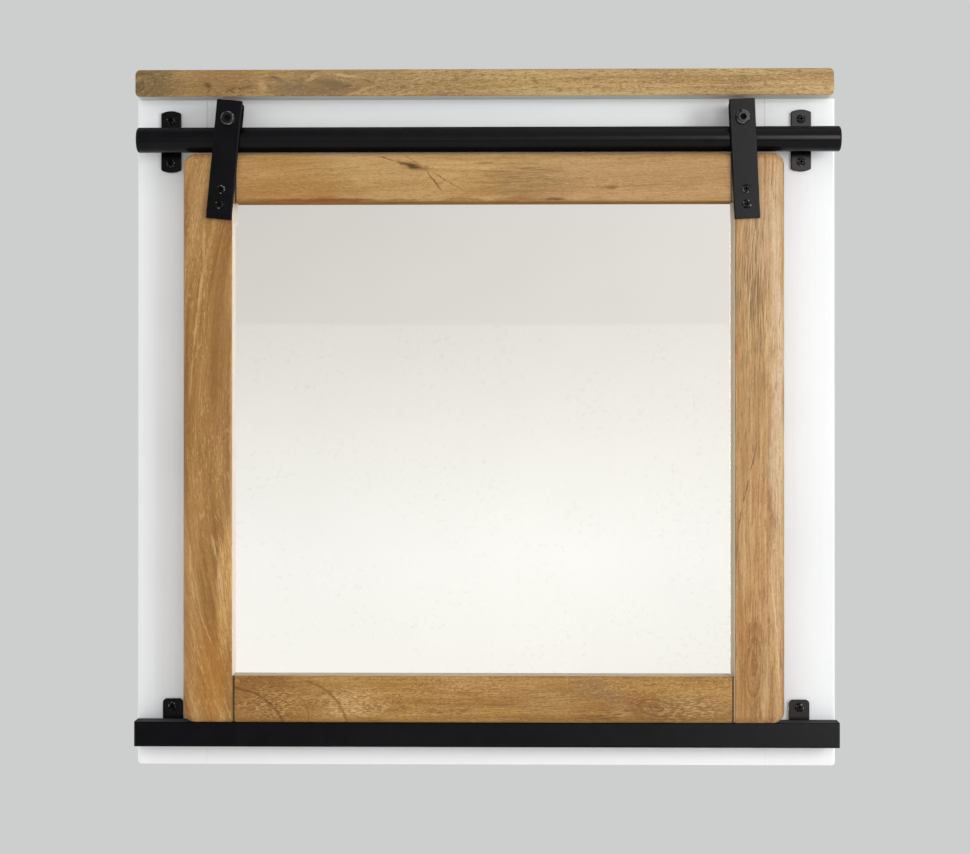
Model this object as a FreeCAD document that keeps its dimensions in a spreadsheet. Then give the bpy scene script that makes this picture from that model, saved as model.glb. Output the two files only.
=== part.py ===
import FreeCAD, Part
import os
import Sketcher
from FreeCAD import Placement, Rotation, Vector

# A mirror door in a wooden frame, hung by two rollers on a tube rail in front of a white wall frame.
# Millimetres and degrees. The origin is on the wall, midway between the entry holes of the two keyholes.
# X runs to the right, Z runs up, and the mirror faces -Y.

SIZES = {
    # white wall frame
    "board_width": 700,
    "board_height": 668,
    "board_thick": 28,
    "board_corner": 4,
    "board_edge": 2,
    "stile_width": 70,
    "rail_height": 70,
    "frame_dowel_radius": 5,
    "frame_dowel_length": 50,
    "frame_dowel_pitch": 36,
    "dowel_slack": 0.1,
    "dowel_end_room": 1,
    # cornice board
    "cornice_width": 695,
    "cornice_height": 27,
    "cornice_depth": 50,
    "cornice_shift": -1.2,
    "cornice_corner": 5,
    "cornice_edge": 1.2,
    "cornice_dowel_radius": 4,
    "cornice_dowel_length": 30,
    "cornice_dowel_inset": 130,
    # keyhole plates in the back
    "hang_drop": 110,
    "plate_width": 20,
    "plate_length": 56,
    "plate_thick": 2,
    "plate_slack": 0.15,
    "plate_screw_pitch": 40,
    "key_entry_radius": 5,
    "key_neck_width": 5,
    "key_neck_rise": 12,
    "key_pocket_depth": 10,
    "key_pocket_room": 1.5,
    "flat_head_radius": 3.8,
    "flat_shank_radius": 1.75,
    "flat_screw_length": 16,
    "flat_head_slack": 0.2,
    # tube rail
    "tube_radius": 12.5,
    "tube_wall": 1.5,
    "tube_length": 692.5,
    "tube_drop": 43.7,
    "tube_standoff": 25,
    "tube_shift": 3,
    "cap_flange": 2.5,
    "cap_dome": 2.2,
    "cap_plug_length": 14,
    "cap_slack": 0.1,
    # rail brackets
    "bracket_inset": 34,
    "bracket_width": 20,
    "bracket_height": 62,
    "bracket_arch_rise": 2.5,
    "bracket_thick": 3,
    "bracket_corner": 2,
    "bracket_edge": 0.6,
    "bracket_rise": 1.5,
    "bracket_screw_pitch": 43,
    "stem_radius": 8,
    "weld_gap": 0.05,
    # bottom bar
    "bar_size": 25,
    "bar_wall": 1.5,
    "bar_length": 697,
    "bar_rise": 21.2,
    "bar_edge": 1.5,
    "bar_shift": 1.1,
    "plug_flange": 1.5,
    "plug_depth": 12,
    "plug_slack": 0.1,
    "tab_width": 20,
    "tab_height": 20,
    "tab_thick": 3,
    "tab_corner": 4,
    "tab_inset": 36,
    "tab_screw_rise": 12.5,
    # pan-head cross-recess screws
    "pan_head_radius": 4.4,
    "pan_head_height": 2.6,
    "pan_head_round": 1.8,
    "pan_shank_radius": 2.2,
    "pan_screw_length": 18,
    "screw_tip_length": 4,
    "screw_tip_radius": 0.4,
    "cross_span": 5,
    "cross_width": 1.2,
    "cross_depth": 1.4,
    "screw_slack": 0.15,
    "pilot_slack": 0.05,
    "pilot_end_room": 0.5,
    # mirror door
    "door_thick": 22,
    "door_margin_left": 51.2,
    "door_margin_right": 54.45,
    "door_top_gap": 2,
    "door_gap": 0.5,
    "door_stile_width": 49.2,
    "door_top_height": 48.6,
    "door_low_height": 46.8,
    "door_corner": 12,
    "door_round": 8,
    "door_back_round": 3,
    "joint_bevel": 1,
    "tenon_length": 28,
    "tenon_thick": 8,
    "tenon_height": 24,
    "tenon_inset": 5,
    "tenon_slack": 0.15,
    "rebate_width": 8,
    "glass_thick": 4,
    "glass_slack": 1,
    "backing_thick": 4,
    "clip_width": 12,
    "clip_length": 26,
    "clip_thick": 1.5,
    "clip_corner": 3,
    "clip_spread": 150,
    "clip_screw_offset": 7,
    "clip_screw_length": 10,
    # hanger straps
    "strap_width": 25,
    "strap_thick": 5,
    "strap_gap": 0.5,
    "strap_drop": 99.5,
    "strap_edge": 0.6,
    "strap_inset_left": 45.6,
    "strap_inset_right": 41.8,
    "lean_left": 5.4,
    "lean_right": 2.6,
    "bridge_gap": 2.9,
    "tongue_width": 20,
    "tongue_drop": 11,
    "tongue_bend": 4,
    "strap_screw_end": 14,
    "strap_screw_pitch": 15,
    # rollers and their axle bolts
    "roller_radius": 10.5,
    "roller_throat": 6.2,
    "roller_gap": 0.3,
    "roller_bore_slack": 0.05,
    "roller_side_gap": 0.5,
    "bolt_radius": 4,
    "bolt_head_radius": 7.2,
    "bolt_head_height": 4.4,
    "bolt_head_round": 2.4,
    "socket_radius": 3.4,
    "socket_depth": 2.6,
    "bolt_slack": 0.15,
    "nut_radius": 7.5,
    "nut_height": 4,
    "nut_slack": 0.05,
}

doc = FreeCAD.newDocument("sliding_mirror")
sheet = doc.addObject("Spreadsheet::Sheet", "Sizes")
for row, (alias, value) in enumerate(SIZES.items(), start=1):
    sheet.set(f"A{row}", alias)
    sheet.set(f"B{row}", str(value))
    sheet.setAlias(f"B{row}", alias)
doc.recompute()

# Planes and points that several pieces share, as expressions of the sheet's sizes
BOARD_HALF = "(Sizes.board_width / 2)"
BOARD_TOP = "Sizes.hang_drop"
BOARD_LOW = "(Sizes.hang_drop - Sizes.board_height)"
BOARD_FRONT = "(-Sizes.board_thick)"
BOARD_MIDDLE = "(-Sizes.board_thick / 2)"
STILE_INSIDE = "(Sizes.board_width / 2 - Sizes.stile_width)"
STILE_MIDDLE = "(Sizes.board_width / 2 - Sizes.stile_width / 2)"
TUBE_Y = "(-Sizes.board_thick - Sizes.tube_standoff)"
TUBE_Z = "(Sizes.hang_drop - Sizes.tube_drop)"
BRACKET_X = "(Sizes.board_width / 2 - Sizes.bracket_inset)"
BRACKET_Z = f"({TUBE_Z} + Sizes.bracket_rise)"
BAR_LOW = f"({BOARD_LOW} + Sizes.bar_rise)"
BAR_TOP = f"({BAR_LOW} + Sizes.bar_size)"
TAB_X = "(Sizes.board_width / 2 - Sizes.tab_inset)"
STRAP_REACH = "(Sizes.tube_radius + Sizes.strap_gap)"
DOOR_FRONT = f"({TUBE_Y} - {STRAP_REACH})"
DOOR_BACK = f"({DOOR_FRONT} + Sizes.door_thick)"
DOOR_MIDDLE = f"({DOOR_FRONT} + Sizes.door_thick / 2)"
DOOR_TOP = f"({TUBE_Z} - Sizes.tube_radius - Sizes.door_top_gap)"
DOOR_LOW = f"({BAR_TOP} + Sizes.door_gap)"
DOOR_LEFT = "(Sizes.door_margin_left - Sizes.board_width / 2)"
DOOR_RIGHT = "(Sizes.board_width / 2 - Sizes.door_margin_right)"
OPENING_LEFT = f"({DOOR_LEFT} + Sizes.door_stile_width)"
OPENING_RIGHT = f"({DOOR_RIGHT} - Sizes.door_stile_width)"
OPENING_TOP = f"({DOOR_TOP} - Sizes.door_top_height)"
OPENING_LOW = f"({DOOR_LOW} + Sizes.door_low_height)"
OPENING_MIDDLE_Z = f"(({OPENING_TOP} + {OPENING_LOW}) / 2)"
BACKING_FRONT = f"({DOOR_BACK} - Sizes.backing_thick)"
GLASS_FRONT = f"({BACKING_FRONT} - Sizes.glass_thick)"
AXLE_Z = f"({TUBE_Z} + Sizes.tube_radius + Sizes.roller_gap + Sizes.roller_throat)"
AXLE_X = {
    "left": f"({DOOR_LEFT} + Sizes.strap_inset_left)",
    "right": f"({DOOR_RIGHT} - Sizes.strap_inset_right)",
}
LEAN = {"left": "Sizes.lean_left", "right": "(-Sizes.lean_right)"}
STRAP_FRONT = f"({DOOR_FRONT} - Sizes.strap_thick)"
TONGUE_BACK = f"({TUBE_Y} + {STRAP_REACH} + Sizes.strap_thick)"

# Room past a face that a cut runs out of
CUT_PAST = "1"
SAME_PLANE = 1e-4

# Turns that point a piece's own Z axis in a direction
TURN = {
    "+x": Rotation(Vector(0, 1, 0), 90),
    "-x": Rotation(Vector(0, 1, 0), -90),
    "+y": Rotation(Vector(1, 0, 0), -90),
    "-y": Rotation(Vector(1, 0, 0), 90),
    "+z": Rotation(),
    "-z": Rotation(Vector(1, 0, 0), 180),
}
BOX_SIDES = {
    "left": ("X", "Min"),
    "right": ("X", "Max"),
    "front": ("Y", "Min"),
    "back": ("Y", "Max"),
    "low": ("Z", "Min"),
    "top": ("Z", "Max"),
}
SIDES = ("left", "right")
OTHER_SIDE = {"left": "right", "right": "left"}

nodes = []


def mirrored(side, place):
    """An x place given for the right-hand side, on the stated side."""
    return place if side == "right" else f"(-{place})"


def across(side, near, far):
    """The lower and higher x of a span given for the right-hand side, on the stated side."""
    if side == "right":
        return near, far
    return f"(-{far})", f"(-{near})"


def move_to(item, place, towards="+z"):
    """Puts a piece's own origin at a place given by expressions, with its Z axis in a direction."""
    item.Placement = Placement(Vector(), TURN[towards])
    for axis, text in zip("xyz", place):
        item.setExpression(f"Placement.Base.{axis}", text)


def new_body(label, is_node=True):
    body = doc.addObject("PartDesign::Body", label)
    body.Label = label
    if is_node:
        nodes.append(body)
    return body


def block(body, kind, name, low, high):
    """Adds or cuts a box between two corners."""
    box = body.newObject(f"PartDesign::{kind}Box", name)
    move_to(box, low)
    for size, start, end in zip(("Length", "Width", "Height"), low, high):
        box.setExpression(size, f"{end} - {start}")
    return box


def rod(body, kind, name, radius, length, start, towards):
    """Adds or cuts a cylinder that runs from a point in a direction."""
    cylinder = body.newObject(f"PartDesign::{kind}Cylinder", name)
    move_to(cylinder, start, towards)
    cylinder.setExpression("Radius", radius)
    cylinder.setExpression("Height", length)
    return cylinder


def cone(body, kind, name, first_radius, last_radius, length, start, towards):
    """Adds or cuts a cone that runs from a point in a direction."""
    taper = body.newObject(f"PartDesign::{kind}Cone", name)
    move_to(taper, start, towards)
    taper.setExpression("Radius1", first_radius)
    taper.setExpression("Radius2", last_radius)
    taper.setExpression("Height", length)
    return taper


def hexagon(body, kind, name, radius, length, start, towards):
    """Adds or cuts a hexagonal prism that runs from a point in a direction."""
    prism = body.newObject(f"PartDesign::{kind}Prism", name)
    prism.Polygon = 6
    move_to(prism, start, towards)
    prism.setExpression("Circumradius", radius)
    prism.setExpression("Height", length)
    return prism


def edges_on(body, *sides):
    """Names of the edges of the newest feature that lie in all the stated planes of its bounding box."""
    doc.recompute()
    shape = body.Tip.Shape
    found = set()
    for number, edge in enumerate(shape.Edges, start=1):
        flat = True
        for side in sides:
            axis, end = BOX_SIDES[side]
            level = getattr(shape.BoundBox, axis + end)
            flat = flat and abs(getattr(edge.BoundBox, axis + "Min") - level) < SAME_PLANE
            flat = flat and abs(getattr(edge.BoundBox, axis + "Max") - level) < SAME_PLANE
        if flat:
            found.add(f"Edge{number}")
    return found


def soften(body, kind, name, size, edges):
    """Rounds (Fillet) or bevels (Chamfer) edges of the newest feature."""
    feature = body.newObject(f"PartDesign::{kind}", name)
    feature.Base = (feature.BaseFeature, sorted(edges))
    feature.setExpression("Radius" if kind == "Fillet" else "Size", size)
    return feature


def plane_sketch(body, role, name):
    """An empty sketch on one of the body's own origin planes."""
    sketch = body.newObject("Sketcher::SketchObject", name)
    plane = next(item for item in body.Origin.OriginFeatures if item.Role == role)
    sketch.AttachmentSupport = [(plane, "")]
    sketch.MapMode = "FlatFace"
    return sketch


def draw_outline(sketch, corners, bulges):
    """A closed outline through corners given as expressions. Sides named in bulges are outward arcs.

    A bulge is given by its rise over the side, and each corner is dimensioned from the sketch's origin.
    """
    points = []
    for across_text, up_text in corners:
        points.append(Vector(sheet.evalExpression(across_text), sheet.evalExpression(up_text), 0))
    count = len(points)
    for index, start in enumerate(points):
        end = points[(index + 1) % count]
        if index in bulges:
            rise = sheet.evalExpression(bulges[index])
            along = (end - start).normalize()
            outward = Vector(along.y, -along.x, 0)
            crest = (start + end) * 0.5 + outward * rise
            sketch.addGeometry(Part.Arc(start, crest, end))
        else:
            sketch.addGeometry(Part.LineSegment(start, end))
    for index, point in enumerate(points):
        start_end = 1
        next_side = (index + 1) % count
        arc_side = index in bulges
        if arc_side and sketch.Geometry[index].StartPoint.distanceToPoint(point) > SAME_PLANE:
            start_end = 2
        for kind, text, value in (
            ("DistanceX", corners[index][0], point.x),
            ("DistanceY", corners[index][1], point.y),
        ):
            number = sketch.addConstraint(Sketcher.Constraint(kind, -1, 1, index, start_end, value))
            sketch.setExpression(f"Constraints[{number}]", text)
        far_end = 2 if start_end == 1 else 1
        near_end = 1
        if next_side in bulges:
            next_start = sketch.Geometry[next_side].StartPoint
            if next_start.distanceToPoint(points[next_side]) > SAME_PLANE:
                near_end = 2
        sketch.addConstraint(Sketcher.Constraint("Coincident", index, far_end, next_side, near_end))
    for index, rise in bulges.items():
        start, end = corners[index], corners[(index + 1) % count]
        half = f"((({end[0]} - {start[0]})^2 + ({end[1]} - {start[1]})^2) / 4)"
        radius = f"({half} + ({rise})^2) / (2 * {rise})"
        value = sheet.evalExpression(radius)
        number = sketch.addConstraint(Sketcher.Constraint("Radius", index, value))
        sketch.setExpression(f"Constraints[{number}]", radius)


def group(label, members):
    """Several like pieces kept together as one node."""
    compound = doc.addObject("Part::Compound", label)
    compound.Label = label
    compound.Links = members
    nodes.append(compound)


def peg(name, radius, length, start, towards):
    """A round wooden dowel."""
    dowel = doc.addObject("Part::Cylinder", name)
    move_to(dowel, start, towards)
    dowel.setExpression("Radius", radius)
    dowel.setExpression("Height", length)
    return dowel


def pan_screw(name, length, seat, towards):
    """A domed cross-recess wood screw. Its own origin is under the head, and Z points out of the head."""
    body = new_body(name, is_node=False)
    rod(body, "Additive", "head", "Sizes.pan_head_radius", "Sizes.pan_head_height", ("0", "0", "0"), "+z")
    soften(body, "Fillet", "dome", "Sizes.pan_head_round", edges_on(body, "top"))
    straight = f"({length} - Sizes.screw_tip_length)"
    rod(body, "Additive", "shank", "Sizes.pan_shank_radius", straight, ("0", "0", "0"), "-z")
    tip_start = ("0", "0", f"(-{straight})")
    tip = ("Sizes.pan_shank_radius", "Sizes.screw_tip_radius", "Sizes.screw_tip_length")
    cone(body, "Additive", "tip", *tip, tip_start, "-z")
    floor = "(Sizes.pan_head_height - Sizes.cross_depth)"
    above = "(Sizes.pan_head_height + Sizes.cross_depth)"
    half_span, half_width = "(Sizes.cross_span / 2)", "(Sizes.cross_width / 2)"
    for slot_name, wide, deep in (("slot", half_span, half_width), ("cross_slot", half_width, half_span)):
        block(body, "Subtractive", slot_name, (f"(-{wide})", f"(-{deep})", floor), (wide, deep, above))
    move_to(body, seat, towards)
    return body


def pilot(body, name, length, seat, towards):
    """A hole for a pan-head screw's shank, from where the head sits into the piece that it holds."""
    radius = "Sizes.pan_shank_radius + Sizes.pilot_slack"
    rod(body, "Subtractive", name, radius, f"{length} + Sizes.pilot_end_room", seat, towards)


# Places of the fasteners of the white frame
frame_dowel_heights = []
for rail_middle in (f"({BOARD_TOP} - Sizes.rail_height / 2)", f"({BOARD_LOW} + Sizes.rail_height / 2)"):
    frame_dowel_heights.append(f"({rail_middle} + Sizes.frame_dowel_pitch / 2)")
    frame_dowel_heights.append(f"({rail_middle} - Sizes.frame_dowel_pitch / 2)")
CORNICE_DOWEL_INNER = f"({STILE_INSIDE} - Sizes.cornice_dowel_inset)"
DOWEL_HOLE_RADIUS = "Sizes.frame_dowel_radius + Sizes.dowel_slack"
DOWEL_HOLE_DEPTH = "Sizes.frame_dowel_length / 2 + Sizes.dowel_end_room"
CORNICE_HOLE_RADIUS = "Sizes.cornice_dowel_radius + Sizes.dowel_slack"
CORNICE_HOLE_DEPTH = "Sizes.cornice_dowel_length / 2 + Sizes.dowel_end_room"
bracket_screw_heights = (
    f"({BRACKET_Z} + Sizes.bracket_screw_pitch / 2)",
    f"({BRACKET_Z} - Sizes.bracket_screw_pitch / 2)",
)
BRACKET_SEAT_Y = f"({BOARD_FRONT} - Sizes.bracket_thick)"
TAB_SEAT_Y = f"({BOARD_FRONT} - Sizes.tab_thick)"
TAB_SCREW_Z = f"({BAR_TOP} + Sizes.tab_screw_rise)"
PLATE_MIDDLE_Z = "(Sizes.key_neck_rise / 2)"
plate_screw_heights = (
    f"({PLATE_MIDDLE_Z} + Sizes.plate_screw_pitch / 2)",
    f"({PLATE_MIDDLE_Z} - Sizes.plate_screw_pitch / 2)",
)


def plate_outline(body, kind, middle_x, slack, depth, start_y):
    """The round-ended outline of a keyhole plate, added or cut from a y plane to the front by a depth."""
    half_width = f"(Sizes.plate_width / 2 + {slack})"
    end_rise = "(Sizes.plate_length / 2 - Sizes.plate_width / 2)"
    low = (f"({middle_x} - {half_width})", f"({start_y} - {depth})", f"({PLATE_MIDDLE_Z} - {end_rise})")
    high = (f"({middle_x} + {half_width})", start_y, f"({PLATE_MIDDLE_Z} + {end_rise})")
    block(body, kind, "plate_middle", low, high)
    for end_name, end_z in (("plate_low_end", low[2]), ("plate_top_end", high[2])):
        rod(body, kind, end_name, half_width, depth, (middle_x, start_y, end_z), "-y")


def white_stile(side):
    body = new_body(f"white_stile_{side}")
    low, high = across(side, STILE_INSIDE, BOARD_HALF)
    block(body, "Additive", "board", (low, BOARD_FRONT, BOARD_LOW), (high, "0", BOARD_TOP))
    soften(body, "Fillet", "corner", "Sizes.board_corner", edges_on(body, side, "low"))
    front_edges = edges_on(body, "front") - edges_on(body, "front", OTHER_SIDE[side])
    front_edges -= edges_on(body, "front", "top")
    soften(body, "Fillet", "eased_edges", "Sizes.board_edge", front_edges)
    inside = mirrored(side, STILE_INSIDE)
    outward = "+x" if side == "right" else "-x"
    for number, height in enumerate(frame_dowel_heights):
        start = (inside, BOARD_MIDDLE, height)
        rod(body, "Subtractive", f"dowel_hole_{number}", DOWEL_HOLE_RADIUS, DOWEL_HOLE_DEPTH, start, outward)
    middle = mirrored(side, STILE_MIDDLE)
    start = (middle, BOARD_MIDDLE, BOARD_TOP)
    rod(body, "Subtractive", "cornice_hole", CORNICE_HOLE_RADIUS, CORNICE_HOLE_DEPTH, start, "-z")
    plate_outline(body, "Subtractive", middle, "Sizes.plate_slack", "Sizes.plate_thick", "0")
    room = "(Sizes.key_entry_radius + Sizes.key_pocket_room)"
    low = (f"({middle} - {room})", "(-Sizes.key_pocket_depth)", f"(-{room})")
    high = (f"({middle} + {room})", "0", f"(Sizes.key_neck_rise + {room})")
    block(body, "Subtractive", "screw_head_pocket", low, high)
    for number, height in enumerate(plate_screw_heights):
        radius = "Sizes.flat_shank_radius + Sizes.pilot_slack"
        depth = "Sizes.flat_screw_length + Sizes.pilot_end_room"
        rod(body, "Subtractive", f"plate_pilot_{number}", radius, depth, (middle, "0", height), "-y")
    for number, height in enumerate(bracket_screw_heights):
        seat = (mirrored(side, BRACKET_X), BRACKET_SEAT_Y, height)
        pilot(body, f"bracket_pilot_{number}", "Sizes.pan_screw_length", seat, "+y")
    pilot(body, "tab_pilot", "Sizes.pan_screw_length", (mirrored(side, TAB_X), TAB_SEAT_Y, TAB_SCREW_Z), "+y")


def white_rail(name, low_z, high_z, free_edge, has_cornice):
    body = new_body(name)
    low = (f"(-{STILE_INSIDE})", BOARD_FRONT, low_z)
    block(body, "Additive", "board", low, (STILE_INSIDE, "0", high_z))
    soften(body, "Fillet", "eased_edge", "Sizes.board_edge", edges_on(body, "front", free_edge))
    heights = frame_dowel_heights[:2] if has_cornice else frame_dowel_heights[2:]
    for side, inward in (("left", "+x"), ("right", "-x")):
        for number, height in enumerate(heights):
            start = (mirrored(side, STILE_INSIDE), BOARD_MIDDLE, height)
            hole = f"dowel_hole_{side}_{number}"
            rod(body, "Subtractive", hole, DOWEL_HOLE_RADIUS, DOWEL_HOLE_DEPTH, start, inward)
        if has_cornice:
            start = (mirrored(side, CORNICE_DOWEL_INNER), BOARD_MIDDLE, BOARD_TOP)
            hole = f"cornice_hole_{side}"
            rod(body, "Subtractive", hole, CORNICE_HOLE_RADIUS, CORNICE_HOLE_DEPTH, start, "-z")


def frame_dowels():
    dowels = []
    for side in SIDES:
        for number, height in enumerate(frame_dowel_heights):
            left_end = f"({mirrored(side, STILE_INSIDE)} - Sizes.frame_dowel_length / 2)"
            size = ("Sizes.frame_dowel_radius", "Sizes.frame_dowel_length")
            dowels.append(peg(f"frame_dowel_{side}_{number}", *size, (left_end, BOARD_MIDDLE, height), "+x"))
    group("frame_dowels", dowels)


def cornice():
    body = new_body("cornice_board")
    low = ("(Sizes.cornice_shift - Sizes.cornice_width / 2)", "(-Sizes.cornice_depth)", BOARD_TOP)
    high = (
        "(Sizes.cornice_shift + Sizes.cornice_width / 2)",
        "0",
        f"({BOARD_TOP} + Sizes.cornice_height)",
    )
    block(body, "Additive", "board", low, high)
    corners = set()
    for side in SIDES:
        corners |= edges_on(body, side, "low") | edges_on(body, side, "top")
    soften(body, "Fillet", "corners", "Sizes.cornice_corner", corners)
    soften(body, "Fillet", "front_edges", "Sizes.cornice_edge", edges_on(body, "front"))
    dowels = []
    for side in SIDES:
        for name, place in (("outer", STILE_MIDDLE), ("inner", CORNICE_DOWEL_INNER)):
            start = (mirrored(side, place), BOARD_MIDDLE, BOARD_TOP)
            hole = f"dowel_hole_{side}_{name}"
            rod(body, "Subtractive", hole, CORNICE_HOLE_RADIUS, CORNICE_HOLE_DEPTH, start, "+z")
            low_end = (start[0], start[1], f"({BOARD_TOP} - Sizes.cornice_dowel_length / 2)")
            size = ("Sizes.cornice_dowel_radius", "Sizes.cornice_dowel_length")
            dowels.append(peg(f"cornice_dowel_{side}_{name}", *size, low_end, "+z"))
    group("cornice_dowels", dowels)


def flat_screw(name, seat):
    """A countersunk wood screw driven into the back, with its head level with the plate."""
    body = new_body(name, is_node=False)
    head = ("Sizes.flat_head_radius", "Sizes.flat_shank_radius", "Sizes.plate_thick")
    cone(body, "Additive", "head", *head, ("0", "0", "0"), "-z")
    straight = "(Sizes.flat_screw_length - Sizes.screw_tip_length)"
    rod(body, "Additive", "shank", "Sizes.flat_shank_radius", straight, ("0", "0", "0"), "-z")
    tip = ("Sizes.flat_shank_radius", "Sizes.screw_tip_radius", "Sizes.screw_tip_length")
    cone(body, "Additive", "tip", *tip, ("0", "0", f"(-{straight})"), "-z")
    half_span, half_width = "(Sizes.cross_span / 2)", "(Sizes.cross_width / 2)"
    for slot_name, wide, deep in (("slot", half_span, half_width), ("cross_slot", half_width, half_span)):
        low = (f"(-{wide})", f"(-{deep})", "(-Sizes.cross_depth)")
        block(body, "Subtractive", slot_name, low, (wide, deep, "Sizes.cross_depth"))
    move_to(body, seat, "+y")
    return body


def keyhole_plates():
    screws = []
    for side in SIDES:
        body = new_body(f"keyhole_plate_{side}")
        middle = mirrored(side, STILE_MIDDLE)
        plate_outline(body, "Additive", middle, "0", "Sizes.plate_thick", "0")
        through = f"Sizes.plate_thick + 2 * {CUT_PAST}"
        entry = (middle, CUT_PAST, "0")
        rod(body, "Subtractive", "entry", "Sizes.key_entry_radius", through, entry, "-y")
        half_neck = "(Sizes.key_neck_width / 2)"
        low = (f"({middle} - {half_neck})", f"(-Sizes.plate_thick - {CUT_PAST})", "0")
        high = (f"({middle} + {half_neck})", CUT_PAST, "Sizes.key_neck_rise")
        block(body, "Subtractive", "neck", low, high)
        neck_end = (middle, CUT_PAST, "Sizes.key_neck_rise")
        rod(body, "Subtractive", "neck_end", half_neck, through, neck_end, "-y")
        for number, height in enumerate(plate_screw_heights):
            wide = "Sizes.flat_head_radius + Sizes.flat_head_slack"
            narrow = "Sizes.flat_shank_radius + Sizes.flat_head_slack"
            place = (middle, "0", height)
            cone(body, "Subtractive", f"countersink_{number}", wide, narrow, "Sizes.plate_thick", place, "-y")
            screws.append(flat_screw(f"plate_screw_{side}_{number}", place))
    group("keyhole_plate_screws", screws)


def tube_rail():
    body = new_body("rail_tube")
    start = ("(Sizes.tube_shift - Sizes.tube_length / 2)", TUBE_Y, TUBE_Z)
    bore = "(Sizes.tube_radius - Sizes.tube_wall)"
    rod(body, "Additive", "outside", "Sizes.tube_radius", "Sizes.tube_length", start, "+x")
    rod(body, "Subtractive", "bore", bore, "Sizes.tube_length", start, "+x")
    for side, outward in (("left", "-x"), ("right", "+x")):
        cap = new_body(f"tube_cap_{side}")
        rod(cap, "Additive", "flange", "Sizes.tube_radius", "Sizes.cap_flange", ("0", "0", "0"), "+z")
        soften(cap, "Fillet", "dome", "Sizes.cap_dome", edges_on(cap, "top"))
        plug_radius = f"{bore} - Sizes.cap_slack"
        rod(cap, "Additive", "plug", plug_radius, "Sizes.cap_plug_length", ("0", "0", "0"), "-z")
        seat_x = f"(Sizes.tube_shift + {mirrored(side, '(Sizes.tube_length / 2)')})"
        move_to(cap, (seat_x, TUBE_Y, TUBE_Z), outward)


def rail_brackets():
    screws = []
    for side in SIDES:
        middle_x = mirrored(side, BRACKET_X)
        plate = new_body(f"rail_bracket_{side}")
        half_width = "(Sizes.bracket_width / 2)"
        shoulder = "(Sizes.bracket_height / 2 - Sizes.bracket_arch_rise)"
        corners = (
            (f"(-{half_width})", f"(-{shoulder})"),
            (half_width, f"(-{shoulder})"),
            (half_width, shoulder),
            (f"(-{half_width})", shoulder),
        )
        outline = plane_sketch(plate, "XZ_Plane", f"bracket_outline_{side}")
        draw_outline(outline, corners, {0: "Sizes.bracket_arch_rise", 2: "Sizes.bracket_arch_rise"})
        pad = plate.newObject("PartDesign::Pad", "plate")
        pad.Profile = outline
        pad.setExpression("Length", "Sizes.bracket_thick")
        corner_edges = set()
        for edge_side in SIDES:
            corner_edges |= edges_on(plate, edge_side)
            corner_edges -= edges_on(plate, edge_side, "front") | edges_on(plate, edge_side, "back")
        soften(plate, "Fillet", "corners", "Sizes.bracket_corner", corner_edges)
        soften(plate, "Fillet", "eased_edges", "Sizes.bracket_edge", edges_on(plate, "front"))
        half_pitch = "Sizes.bracket_screw_pitch / 2"
        for number, rise in enumerate((f"({half_pitch})", f"(-{half_pitch})")):
            radius = "Sizes.pan_shank_radius + Sizes.screw_slack"
            start = ("0", CUT_PAST, rise)
            through = f"Sizes.bracket_thick + 2 * {CUT_PAST}"
            rod(plate, "Subtractive", f"screw_hole_{number}", radius, through, start, "-y")
        move_to(plate, (middle_x, BOARD_FRONT, BRACKET_Z))
        stem = new_body(f"bracket_stem_{side}")
        reach = "(Sizes.tube_standoff - Sizes.bracket_thick)"
        rod(stem, "Additive", "post", "Sizes.stem_radius", reach, (middle_x, BRACKET_SEAT_Y, TUBE_Z), "-y")
        saddle = "Sizes.tube_radius + Sizes.weld_gap"
        saddle_start = (f"({middle_x} - Sizes.bracket_width)", TUBE_Y, TUBE_Z)
        rod(stem, "Subtractive", "saddle", saddle, "2 * Sizes.bracket_width", saddle_start, "+x")
        for number, height in enumerate(bracket_screw_heights):
            seat = (middle_x, BRACKET_SEAT_Y, height)
            name = f"bracket_screw_{side}_{number}"
            screws.append(pan_screw(name, "Sizes.pan_screw_length", seat, "-y"))
    group("bracket_screws", screws)


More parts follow.
